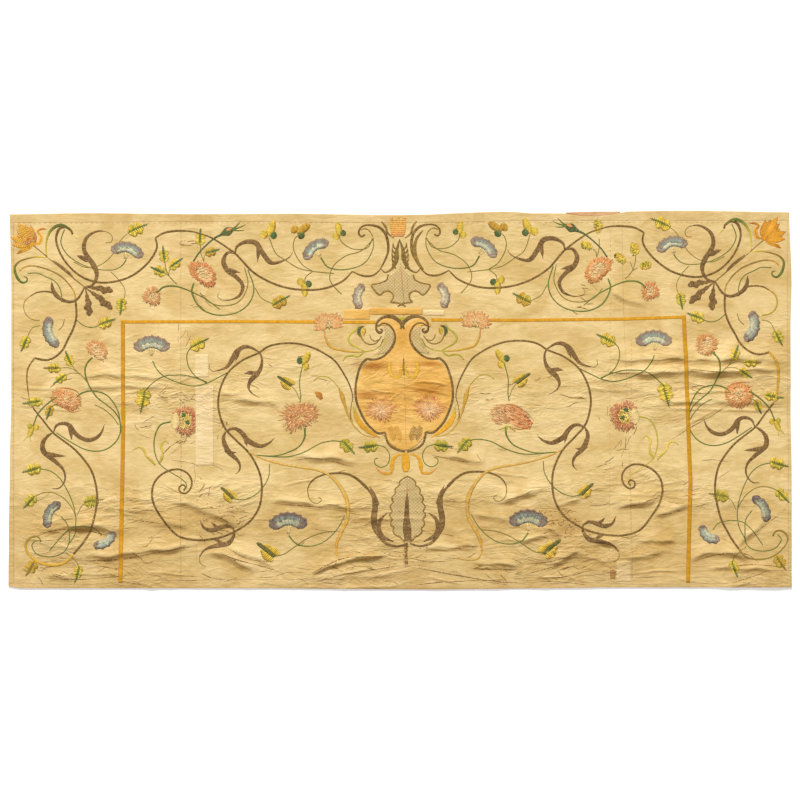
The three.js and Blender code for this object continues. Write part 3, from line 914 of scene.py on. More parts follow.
def oval(side, centre, degrees, long, wide, count, tints, lift):
    """An oval of stitches laid side by side across it, from its half length and half width."""
    for i in range(count):
        share = (i + 0.5) / count * 2 - 1
        reach = wide * (1 - share**2) ** 0.45
        place, slant = share * long, 0.08 * long
        ends = turned(centre, degrees, [(place - slant, -reach), (place + slant, reach)])
        hatch(side, ends, 2.6 * long / count, tints, lift, 0.1, thick=0.25)


# The lobes of a ribbed leaf in its lengths: where each lies, and its half length and half width.
LOBES = ((0.24, 0.24, 0.32, 0.2), (0.12, -0.2, 0.26, 0.18), (0.54, -0.16, 0.2, 0.14),
         (0.56, 0.17, 0.16, 0.12))


def ribbed_leaf(side, base, tip):
    """A leaf behind a broad rib of dark and pale cross stitches that runs on past it."""
    angle, long = heading(base, tip)
    for x, y, half_long, half_wide in LOBES:
        centre = turned(base, angle, [(x * long, y * long)])[0]
        oval(side, centre, angle, half_long * long, half_wide * long, 7, [YELLOW, OCHRE], 0.05)
    for number, share in enumerate(np.arange(-0.04, 1.08, 0.042)):
        half = 0.1 * min(1.0, 4 * (1.2 - share)) * long
        ends = turned(base, angle, [((share - 0.02) * long, -half), ((share + 0.05) * long, half)])
        hatch(side, ends, 0.05 * long, DARK_GREEN if number % 2 else OLIVE, 0.35, 0.05, "stems", 0.25)


def pod(side, base, tip, wide):
    """A yellow oval pod with a green side and an ochre edge."""
    angle, long = heading(base, tip)
    for hand in (1, -1):
        edge = [(0.05 * long, 0), (0.35 * long, 0.5 * hand * wide), (0.75 * long, 0.46 * hand * wide),
                (long, 0)]
        way = FINE_TWIST._replace(thick=0.2)
        side.work("stems", way, turned(base, angle, edge), [0.8, 1.4, 1.4, 0.8], OCHRE, 0.15, 0.3)
    for shift, tints in ((0.1, [YELLOW, OCHRE, YELLOW]), (-0.2, [YELLOW, YELLOW_GREEN, GREEN])):
        centre = turned(base, angle, [(0.52 * long, shift * wide)])[0]
        scatter(side, centre, angle, (0.46 * long, 0.34 * wide), 42, 7, 2.8, tints, 0.1, 0.1, 75)


def bud(side, at, degrees, tint=YELLOW, cup=CUP_GREEN, size=22, hand=1):
    """A bud of one long petal and a small round one, with a round green cup on the other side of the root."""
    petals, cups = (OCHRE, tint, tint), (cup, cup, cup)
    lobes = ((0, 0.8, 0.74, 0.38, 13, petals, 0.15), (84, 0.44, 0.4, 0.38, 9, petals, 0.05),
             (-58, 0.48, 0.34, 0.34, 8, cups, 0.25))
    for turn, far, long, wide, count, tints, lift in lobes:
        centre = turned(at, degrees + hand * turn, [(far * size, 0)])[0]
        oval(side, centre, degrees, long * size, wide * size, count, tints, lift)


FAN_SWEEP = 56  # degrees to each side of a fan's middle
FAN_STITCH = 1.35  # how far apart its stitches are along its rim


def fan(side, at, degrees, wide=88, body=34, stub=True, blues=FADED_BLUES):
    """A half-moon blue flower of radiating stitches: pale in the middle, with a dark scalloped rim and dark
    round ends."""
    rim, grey, blue, heart = (np.array(tint) for tint in blues)
    middle = 0.52 * wide
    count = int(wide / FAN_STITCH)
    for i in range(count):
        share = i / (count - 1) * 2 - 1
        angle = math.radians(90 - share * FAN_SWEEP)
        scallop = 0.1 * abs(math.sin(share * wide / 8))
        taper = 1 - 0.5 * smoothstep((abs(share) - 0.84) / 0.16)
        outer = middle + body * (0.5 * taper - scallop) + rng.uniform(-0.8, 0.8)
        inner = middle - body * (0.44 * taper + 0.04 * (1 - share**2)) + rng.uniform(-0.8, 0.8)
        radii = [inner, inner + (outer - inner) * 0.5, inner + (outer - inner) * 0.36, outer]
        spots = turned(at, degrees, [(r * math.cos(angle), r * math.sin(angle) - middle) for r in radii])
        end_on = smoothstep((abs(share) - 0.56) / 0.3)
        here = (blue if rng.random() < 0.6 else grey) * (1 - end_on) + rim * end_on
        core = (heart if rng.random() < 0.55 else 0.5 * (heart + blue)) * (1 - end_on) + rim * end_on
        for ends, tints in ((spots[:2], [here, core, core]), (spots[2:], [core, here, here, rim, rim])):
            hatch(side, ends, 2.8 * rng.uniform(0.8, 1.1), tints, 0.1 + 0.06 * (i % 2), 0.24, "flowers", 0.2)
    for hand in (1, -1):
        bends = [math.radians(90 - hand * FAN_SWEEP * share) for share in (0.86, 0.95, 1.04)]
        end = turned(at, degrees,
                     [(middle * math.cos(bend), middle * math.sin(bend) - middle) for bend in bends])
        widths = [0.42 * body, 0.66 * body, 0.6 * body, 0.34 * body]
        side.work("flowers", SATIN._replace(thick=0.2, step=2.0), end, widths, [grey, rim, rim], 0.2, 0.14)
    for x in (-5, -2, 1, 4) if stub else ():
        ends = turned(at, degrees, [(0.5 * x, -1.05 * body), (1.6 * x, -0.45 * body)])
        hatch(side, ends, 3.4, [CREAM, PALE_CREAM], 0.05, 0.25, "flowers", 0.2)


def scatter(side, at, degrees, half, count, long, wide, tints, lift=0.1, worn=0.3, lean=90):
    """Short stitches scattered over an oval, leaning much the same way."""
    for _ in range(count):
        around, share = rng.uniform(0, 2 * math.pi), math.sqrt(rng.random())
        x, y = half[0] * share * math.cos(around), half[1] * share * math.sin(around)
        turn = math.radians(lean + rng.uniform(-28, 28))
        dx, dy = 0.5 * long * math.cos(turn), 0.5 * long * math.sin(turn)
        ends = turned(at, degrees, [(x - dx, y - dy), (x + dx, y + dy)])
        hatch(side, ends, wide, tints[rng.integers(len(tints))], lift + 0.15 * rng.random(), worn,
              "flowers", 0.25)


def petal(side, at, degrees, long, wide, tints, bend, lift, worn, point=0.25):
    """One petal from its root outwards, with its widest part beyond the middle."""
    route = turned(at, degrees, [(0, 0), (0.5 * long, bend * long), (long, 0)])
    widths = [share * wide for share in (0.16, 0.6, 1.0, 0.9, point)]
    side.work("flowers", LONG_SATIN._replace(step=2.2), route, widths, tints, lift, worn)


def blossom(side, at, degrees, radii, rings, ragged=0.1, on=0.0):
    """A flower of radiating stitches inside an outline given by its reach every so many degrees. Each ring
    runs from one share of the reach to another, and its stitches end as unevenly as it is ragged."""
    turns = np.linspace(0, 360, len(radii) + 1)
    reach = np.append(radii, radii[0])
    for number, (start, stop, count, wide, tints, worn) in enumerate(rings):
        for i in range(count):
            angle = (i + rng.uniform(-0.35, 0.35)) * 360 / count
            far = np.interp(angle % 360, turns, reach)
            inner, outer = far * start, far * (stop + rng.uniform(-ragged, ragged))
            ends = turned(at, degrees + angle, [(inner, 0), (outer, rng.uniform(-2, 2))])
            hatch(side, ends, wide, tints, on + 0.12 * number + 0.06 * (i % 3), worn, "flowers", 0.3)


STARBURST_PETALS = ((10, 29), (26, 34), (42, 36), (58, 40), (74, 40), (90, 40), (106, 38), (124, 24))


def starburst(side, at, degrees):
    """A flower of pointed dusty petals that spread to both sides of a pale throat."""
    for hand in (1, -1):
        for turn, long in STARBURST_PETALS:
            angle = degrees + hand * turn
            stretch = rng.uniform(0.92, 1.06)
            petal(side, at, angle, long * stretch, 8.5, [LIGHT_PINK, SALMON, RUST], 0.06 * hand, 0.9, 0.42)
            vein = turned(at, angle + hand * 7, [(8, 0), (0.8 * long, 0)])
            hatch(side, vein, 1.8, [RUST, APRICOT], 1.1, 0.35, "flowers", 0.2)
    scatter(side, at, degrees, (12, 9), 26, 7, 3.0, [CREAM, LIGHT_PINK, PALE_PINK], 1.3, 0.3, 0)
    for turn in (-40, 0, 40):
        sepal = turned(at, degrees + 180 + turn, [(2, 0), (13, 0)])
        hatch(side, sepal, 4.5, YELLOW_GREEN, 1.2, 0.35, thick=0.3)


POPPY_REACH = [36, 38, 36, 35, 35, 33, 26, 27, 34, 38, 40, 38]


def poppy(side, at, radius):
    """An open flower: a wispy ring of rust red, a mottled yellow heart, a pale petal and two green eyes."""
    outer = (0.6, 1.0, 150, 2.8, [CRIMSON, CRIMSON, ROSE], 0.42)
    inner = (0.5, 0.84, 80, 2.6, [DEEP_CRIMSON, CRIMSON], 0.4)
    blossom(side, at, 0, [value * radius / 36 for value in POPPY_REACH], [outer, inner], 0.16)
    heart = [YELLOW, OCHRE, CREAM, YELLOW, PALE_CREAM]
    scatter(side, at, 0, (0.5 * radius, 0.56 * radius), 110, 8, 3.2, heart, 0.25, 0.25, 70)
    egg = (at[0] - 0.6 * radius, at[1] - 0.02 * radius)
    oval(side, egg, 84, 0.54 * radius, 0.34 * radius, 18, [PALE_PINK, PALE_CREAM, PALE_CREAM], 0.5)
    for x, y in ((-0.03, 0.42), (0.24, -0.12)):
        eye = (at[0] + x * radius, at[1] + y * radius)
        blossom(side, eye, 0, [6.0] * 4, [(0.0, 1.0, 11, 3.4, CUP_GREEN, 0.04)], on=0.5)


# The petals of a tulip: direction, length and width.
TULIP_PETALS = ((178, 54, 16), (161, 60, 18), (148, 50, 17), (137, 58, 17), (125, 68, 18), (113, 54, 16),
                (100, 50, 14), (86, 32, 11))


def tulip(side, at):
    """A golden flower seen from the side: pointed petals edged with orange, some with rows of orange
    stitches, a curled petal above and a drooping one below."""
    light, deep, dark = side.gold
    for turn, long, wide in TULIP_PETALS:
        tints = [deep, light, light if side.dotted else deep]
        petal(side, at, turn, long, wide, tints, 0.0, 0.1 + 0.004 * (long - 30), 0.12, 0.12)
        for hand in (1, -1):
            edge = [(0.2 * long, 0.2 * hand * wide), (0.66 * long, 0.46 * hand * wide), (1.02 * long, 0)]
            side.work("flowers", OUTLINE, turned(at, turn, edge), [0.9, 1.5, 1.0], dark, 0.4, 0.2)
        for row in np.arange(0.2, 0.95, 0.085) if side.dotted else ():
            half = 0.5 * wide * math.sin(math.pi * min(0.86, 0.14 + 0.9 * row)) ** 0.7
            ends = turned(at, turn, [((row - 0.01) * long, -half), ((row + 0.02) * long, half)])
            hatch(side, ends, 1.6, dark, 0.6, 0.42, "flowers", 0.2)
    curled = turned(at, 0, [(2, 2), (15, 8), (17, 24), (9, 35), (18, 41), (32, 41)])
    drooping = turned(at, 0, [(-3, 1), (-14, -7), (-28, -12), (-43, -21)])
    for route, wide in ((curled, [4, 9, 9, 6, 6, 1]), (drooping, [4, 9, 11, 9, 2])):
        side.work("flowers", THIN_SATIN, route, wide, [deep, light, dark], 0.1, 0.15)
        side.work("flowers", OUTLINE, route, [0.8, 1.4, 0.8], dark, 0.5, 0.25)


OAK_LOBES = (0.1, 0.16, 0.2, 0.26, 0.56, 0.44, 0.78, 0.58, 0.9, 0.66, 0.94, 0.7, 0.74, 0.24)


def oak_leaf(side, base, tip, wide=17):
    """A brown leaf, narrow at its root, with shallow round lobes."""
    angle, long = heading(base, tip)
    spine = turned(base, angle, [(0, 0), (0.5 * long, 0.02 * long), (long, 0)])
    side.leaf_stroke(spine, [wide * lobe for lobe in OAK_LOBES])
    for share, hand in ((0.48, 1), (0.62, -1), (0.76, 1)):
        spots = [(share * long + far * wide, hand * off * wide) for far,
                 off in ((0, 0.2), (0.3, 0.42), (0.56, 0.44))]
        side.leaf_stroke(turned(base, angle, spots), [0.3 * wide, 0.42 * wide, 0.2 * wide], lift=0.25)


def forked(side, route, wide, barb, barb_wide):
    """A brown leaf that swells and tapers into a curl, with one barb."""
    side.leaf_stroke(route, wide)
    side.leaf_stroke(barb, barb_wide, lift=0.1)


# ---------------------------------------------------------------- the half design, written for the left

def field_scroll(side):
    """The great scroll of the centre field, with its forked leaves."""
    side.cord([(-124, -32), (-121, -10), (-118, 5), (-125, 35), (-148, 78), (-165, 100), (-192, 118),
               (-222, 132), (-258, 141), (-305, 140), (-332, 132), (-352, 118), (-392, 100), (-428, 70),
               (-448, 30), (-454, -8), (-449, -40), (-436, -72), (-408, -102), (-379, -130), (-360, -160),
               (-348, -192), (-345, -230), (-352, -268), (-372, -300), (-401, -322), (-442, -341),
               (-500, -350), (-538, -345), (-560, -335), (-589, -302), (-610, -270), (-619, -240),
               (-615, -210), (-598, -188), (-572, -175), (-548, -174), (-528, -186), (-520, -203),
               (-523, -221), (-536, -233), (-549, -229), (-551, -218), (-542, -212), (-535, -218),
               (-540, -225)], [2, 5, 5.5, 5.5, 5.5, 6, 6, 6, 6, 6, 6, 6, 5.5, 4.5])
    forked(side, [(-352, 120), (-375, 132), (-392, 132), (-408, 120), (-420, 100), (-432, 83), (-450, 75),
                  (-468, 71)], [3, 6, 10, 13, 12, 8, 4, 1], [(-402, 124), (-406, 112), (-411, 96)],
           (9, 8, 1))
    side.stem([(-466, 71), (-476, 78), (-475, 90)], 1.6, OLIVE)
    forked(side, [(-352, 120), (-346, 108), (-345, 92), (-350, 75), (-360, 62), (-372, 50), (-378, 34),
                  (-374, 22), (-362, 12), (-350, 6)], [4, 5, 7, 10, 13, 12, 8, 4, 2, 1],
           [(-360, 66), (-376, 68), (-390, 65)], (11, 10, 1))
    forked(side, [(-435, -78), (-422, -72), (-410, -72), (-395, -82), (-382, -99), (-365, -110),
                  (-348, -115), (-328, -108), (-314, -95)], [4, 7, 10, 12, 13, 12, 9, 5, 1],
           [(-388, -92), (-385, -104), (-382, -116)], (9, 8, 1))
    forked(side, [(-435, -78), (-441, -95), (-436, -115), (-424, -134), (-408, -148), (-400, -162),
                  (-401, -175), (-410, -185)], [4, 9, 12, 13, 10, 7, 4, 1],
           [(-436, -124), (-424, -132), (-408, -130)], (11, 10, 1))
    forked(side, [(-415, -322), (-432, -314), (-450, -319), (-468, -325), (-488, -320), (-500, -300)],
           [4, 8, 12, 11, 6, 1], [(-452, -320), (-464, -312), (-472, -304)], (8, 7, 1))
    forked(side, [(-415, -322), (-415, -338), (-428, -357), (-450, -362), (-475, -368), (-490, -376),
                  (-500, -390)], [4, 8, 12, 13, 9, 5, 3], [(-444, -360), (-456, -350), (-470, -348)],
           (9, 8, 1))
    side.stem([(-500, -390), (-501, -402), (-494, -412), (-485, -415)], 1.8, OLIVE)


def rope_branch(side):
    """The thick yellow branch that leaves the scroll and curls below the centre."""
    side.stem([(-379, -130), (-340, -148), (-296, -160), (-251, -168), (-212, -174), (-181, -185),
               (-159, -204), (-140, -232), (-130, -265), (-132, -298), (-146, -328), (-158, -358),
               (-159, -382), (-152, -398)], [2, 3.5, 4, 4.5, 4.5, 5, 6, 9, 10, 6, 9, 8, 4, 2],
              [MUSTARD, OCHRE, OCHRE, MUSTARD], 0.3, 0.36)
    rope = smooth_line([(-152, -214), (-136, -240), (-130, -265), (-132, -298), (-146, -328), (-158, -358),
                        (-159, -380)], 5)
    halves = along_list([3, 5.5, 6, 4, 5.5, 5, 2.5], np.linspace(0, 1, len(rope)))
    for (x, y), half in zip(rope, halves):
        tint = DARK_MUSTARD if rng.random() < 0.75 else LOOP_YELLOW
        hatch(side, [(x - half, y - 1), (x + half, y + 1)], 2.4, tint, 0.4, 0.2, "stems", 0.25)
    if side.name == "right":
        side.stem([(-156, -390), (-148, -400), (-122, -403), (-95, -397)], [4, 3, 2], OCHRE, 0.2, 0.3)


def field_stems(side):
    """Green stems of the centre field, with what they carry."""
    side.stem([(-60, -112), (-38, -118), (-26, -138), (-31, -160), (-48, -168), (-62, -160), (-63, -148),
               (-55, -145)], 2.2)
    leaf(side, (-62, -115), (-102, -119), YELLOW_GREEN, DARK_GREEN)
    side.stem([(-142, -105), (-165, -102), (-198, -108), (-235, -128), (-270, -140), (-302, -142),
               (-360, -138)], 2.6)
    leaf(side, (-142, -105), (-114, -134), YELLOW_GREEN, GREEN)
    side.stem([(-414, -247), (-392, -249), (-366, -240), (-344, -220), (-328, -191), (-326, -160)], 2.2)
    ribbed_leaf(side, (-417, -246), (-444, -220))
    fan(side, (-280, -296), 2, 94, 36, blues=KEPT_BLUES)
    side.stem([(-278, -338), (-260, -358), (-235, -365), (-202, -360), (-178, -345), (-155, -320),
               (-138, -288)], [3.6, 3.2, 2.4, 2.4, 2.4, 2])
    ribbed_leaf(side, (-314, -390), (-353, -359))
    side.stem([(-312, -390), (-290, -385), (-265, -368), (-230, -345), (-195, -332), (-162, -328)], 2.4,
              OLIVE)
    side.stem([(-238, -70), (-238, -92), (-251, -115), (-278, -130), (-309, -139), (-362, -138)],
              [5, 3.4, 2.6, 2.4])
    bud(side, (-245, 88), 58, YELLOW, CUP_GREEN, 24, -1)
    side.stem([(-243, 88), (-250, 55), (-251, 40), (-248, 10), (-250, -8)], 2.4)
    ribbed_leaf(side, (-272, 36), (-303, 58))
    side.stem([(-270, 34), (-260, 22), (-251, 2)], 1.8, OLIVE)
    side.stem([(-215, 48), (-202, 58), (-182, 58), (-168, 48), (-155, 34)], 2.6, YELLOW_GREEN)
    side.stem([(-154, 32), (-148, 20), (-138, -12), (-128, -42), (-112, -68), (-88, -88), (-62, -93)],
              [3, 11, 6, 3.5, 3, 2.6, 2], OCHRE, 0.2, 0.15)


def field_corner(side):
    """Flowers and leaves between the scroll and the braid."""
    fan(side, (-620, 146), 0, 88, 34)
    side.stem([(-618, 98), (-608, 78), (-590, 60), (-566, 48), (-540, 39), (-510, 35), (-482, 42),
               (-462, 52), (-428, 70)], 2.6)
    leaf(side, (-517, 132), (-479, 153), YELLOW, GREEN)
    side.stem([(-518, 133), (-530, 120), (-532, 100), (-525, 78), (-510, 59), (-482, 42)], 2.4)
    leaf(side, (-638, 20), (-648, -30), YELLOW, GREEN)
    side.stem([(-638, 20), (-628, 32), (-610, 48), (-590, 59), (-566, 62), (-540, 62), (-510, 55),
               (-482, 45)], 2.4)
    poppy(side, (-539, -52), 36)
    side.stem([(-573, -54), (-598, -62), (-612, -90), (-614, -120), (-608, -145), (-595, -165), (-570, -182),
               (-542, -200), (-532, -215), (-540, -228)], [4, 3.4, 2.8, 2.4, 2.2, 2], side.poppy_stem)
    for sprig in ([(-668, -126), (-652, -118), (-640, -124), (-634, -140), (-622, -150), (-611, -163)],
                  [(-578, -110), (-586, -102), (-597, -114), (-593, -130), (-595, -146), (-602, -160)]):
        side.stem(sprig, [1.5, 3, 6, 4, 7, 3], [YELLOW_GREEN, YELLOW, YELLOW_GREEN], 0.1, 0.25)


def centre_leaf_scroll(side):
    """The heavy scroll that rises on each side of the palm leaf, and its curl."""
    side.leaf_stroke([(19, -358), (-6, -365), (-34, -358), (-52, -338), (-64, -315), (-65, -290),
                      (-62, -265), (-68, -238), (-84, -218)], [5, 5, 7, 10, 13, 15, 14, 9, 5])
    side.cord([(-84, -218), (-106, -198), (-131, -185), (-164, -183), (-196, -188), (-218, -200),
               (-230, -220), (-228, -242)], [9, 7, 6, 4, 2])
    side.stem([(-190, -187), (-216, -200), (-230, -222), (-227, -244), (-214, -257), (-202, -256),
               (-196, -248), (-204, -243)], [2.4, 1.8, 1.8, 1.8, 2], OLIVE_BROWN, 0.1, 0.2)
    side.leaf_stroke([(-58, -262), (-64, -240), (-76, -214)], [13, 9, 1])
    side.leaf_stroke([(-33, -283), (-49, -298), (-54, -318), (-44, -340), (-16, -354)], [2, 8, 12, 11, 8, 3])


def cartouche_half(side):
    """Half of the brown cord outline of the cartouche, with the netted lobe and the bands outside it."""
    side.work("metal", LAID._replace(thick=0.7), [(10, 178), (4, 190), (-8, 202), (-22, 208), (-42, 206),
                                                  (-57, 194), (-60, 180)], [5, 9, 10, 9, 7, 6, 5], BROWN,
              ON_TRIM)
    side.cord([(-60, 182), (-57, 172), (-49, 168), (-44, 174), (-50, 178)], [5, 7, 8, 6, 3], BROWN, ON_TRIM)
    side.cord([(-56, 184), (-44, 191), (-30, 189), (-18, 177), (-12, 157), (-18, 134), (-34, 115),
               (-51, 104), (-68, 101), (-83, 103)], [3.5, 5, 5.5, 5.5, 6, 6, 6, 6, 6], BROWN, ON_TRIM)
    side.cord([(-83, 103), (-96, 90), (-106, 62), (-111, 30), (-109, -2), (-102, -22), (-86, -54),
               (-71, -71), (-54, -83), (-37, -81)], 6.5, BROWN, ON_TRIM)
    side.cord([(-37, -81), (-35, -94), (-27, -111), (-12, -122), (12, -129)], 6, BROWN, ON_TRIM)
    side.work("nets", THIN_SATIN, [(-42, 183), (-30, 172), (-28, 152), (-38, 130), (-56, 116)],
              [4, 20, 25, 22, 6], GROUND_TONE, ON_TRIM + 0.1)
    side.stem([(-36, 158), (-38, 142), (-46, 130)], 2.4, YELLOW_GREEN, 1.2)
    side.work("leaves", SATIN, [(-117, -14), (-106, -48), (-86, -72), (-50, -95)], [2, 11, 14, 10, 2],
              [YELLOW_GREEN, ORANGE_YELLOW, ORANGE_YELLOW, ORANGE_YELLOW], 0.3, 0.15)
    side.cord([(-124, -32), (-123, -44), (-118, -54)], [5, 4, 1], OLIVE_BROWN)
    cartouche_flowers(side)
    side.work("leaves", SATIN, [(6, -136), (-8, -139), (-18, -150), (-20, -168), (-21, -182)],
              [3, 6, 9, 11, 4], ORANGE_YELLOW, 0.25, 0.15)
    side.work("leaves", SATIN, [(-20, -182), (-40, -184), (-54, -176), (-60, -168)], [7, 7, 4, 1.5],
              [ORANGE_YELLOW, APRICOT], 0.2, 0.2)


def cartouche_flowers(side):
    """Half of the cartouche's inside: a pink carnation, a loop of a faded yellow crown and hatched marks."""
    petals = (0.1, 1.0, 90, 2.2, [PALE_PINK, LIGHT_PINK, CRIMSON], 0.14)
    heart = (0.0, 0.5, 26, 3.0, [PALE_PINK, LIGHT_PINK], 0.1)
    blossom(side, (-51, -27), 0, [38, 40, 34, 36, 30, 34, 38, 26, 22, 24, 30, 30], [petals, heart], 0.24,
            ON_TRIM)
    loop = [(-27, 92), (-26, 72), (-17, 58), (-8, 55), (0, 62), (4, 76), (4, 88)]
    side.work("flowers", THIN_SATIN, loop, [6, 8, 7, 6, 5, 4, 3], LOOP_YELLOW, ON_TRIM, 0.2)
    for x, y in smooth_line(loop, 6):
        hatch(side, [(x - 6, y - 1), (x + 6, y + 1)], 2.0, MUSTARD, ON_TRIM + 0.2, 0.0, "flowers", 0.2)
    for middle in (-20, -5):
        for row in np.arange(-17, 18, 3.2):
            half = 7.5 * math.sqrt(1 - (row / 18) ** 2)
            x, y = middle - 0.36 * row, -83 + row
            ends = [(x - half, y - 4), (x + half, y + 4)]
            hatch(side, ends, 2.0, side.mark, ON_TRIM + 0.2, 0.1, "flowers", 0.25)


def beside_cartouche(side):
    """Pink starburst, olive scrolls and small buds at the cartouche's shoulder."""
    starburst(side, (-178, 190), 96)
    side.stem([(-190, 176), (-185, 152), (-172, 132), (-145, 124), (-115, 120), (-88, 121), (-66, 125),
               (-50, 135), (-42, 152)], [3, 6, 5, 3.4, 2.4, 2.4],
              [APRICOT, OCHRE, OCHRE, YELLOW_GREEN, OLIVE], 0.1, 0.2)
    side.stem([(-103, 190), (-110, 176), (-124, 164), (-129, 150), (-120, 138), (-102, 129), (-91, 122)],
              [2, 4, 5, 5, 4, 3], YELLOW_GREEN)
    side.stem([(-91, 119), (-104, 109), (-120, 111), (-135, 108), (-143, 97)], [3, 5, 5, 4, 2], YELLOW_GREEN)
    side.stem([(-46, 160), (-59, 143), (-75, 139), (-90, 146), (-98, 160)], 2.2, OLIVE_BROWN, 1.1)
    side.stem([(-54, 151), (-63, 147), (-72, 153), (-76, 163)], 1.8, OLIVE_BROWN, 1.1)
    side.work("leaves", SATIN._replace(step=2.0), [(-98, 158), (-103, 169), (-100, 180), (-90, 184)],
              [5, 9, 8, 3], [OLIVE, DARK_GREEN, BROWN], 0.3)
    oval(side, (-90, 171), 80, 9, 5, 7, [OCHRE, YELLOW], 0.2)


def top_scroll(side):
    """Brown scrolls of the top border, from the netted column out to the corner."""
    side.cord([(-50, 326), (-38, 348), (-30, 370), (-30, 392), (-36, 414), (-50, 430), (-68, 436),
               (-88, 436), (-100, 428), (-103, 416), (-96, 408), (-88, 413)],
              [3, 5, 6, 7, 8, 8, 8, 7, 5, 5, 6, 5])
    side.cord([(-98, 424), (-88, 428), (-76, 422), (-68, 408)], [3, 3.4, 3, 2], OLIVE_BROWN)
    side.cord([(-46, 446), (-36, 432), (-30, 416), (-15, 404)], [4, 7, 6, 3], OLIVE_BROWN)
    side.cord([(-50, 325), (-66, 312), (-85, 309), (-102, 313), (-119, 321)], [3, 5, 6, 5, 3])
    side.cord([(-119, 321), (-142, 298), (-192, 278), (-255, 276), (-309, 288), (-365, 318), (-398, 352),
               (-412, 366), (-465, 402), (-485, 411), (-500, 414)], [4, 6, 6, 6, 6, 6, 6, 5, 4])
    side.cord([(-499, 415), (-522, 421), (-560, 422), (-590, 417), (-611, 405)], [4, 5, 6, 6, 5])
    side.cord([(-611, 405), (-607, 382), (-625, 348), (-672, 309), (-735, 293), (-778, 300), (-812, 320),
               (-844, 358), (-859, 402), (-850, 428), (-836, 432), (-822, 424), (-818, 414)],
              [5, 6, 6, 6, 6, 6, 6, 5.5, 5.5, 6, 8, 6])
    forked(side, [(-412, 366), (-408, 382), (-385, 395), (-360, 392), (-345, 370), (-322, 343),
                  (-300, 345), (-275, 358), (-268, 370)], [4, 7, 11, 13, 12, 12, 7, 3, 1],
           [(-354, 388), (-354, 368), (-356, 344)], (10, 9, 1))
    forked(side, [(-412, 366), (-430, 368), (-441, 348), (-432, 325), (-410, 308), (-393, 286),
                  (-400, 262), (-425, 250), (-448, 250)], [3, 8, 12, 12, 10, 9, 7, 3, 1],
           [(-432, 326), (-416, 322), (-398, 318)], (10, 9, 1))
    side.stem([(-446, 251), (-456, 258), (-452, 268)], 1.5, OLIVE)


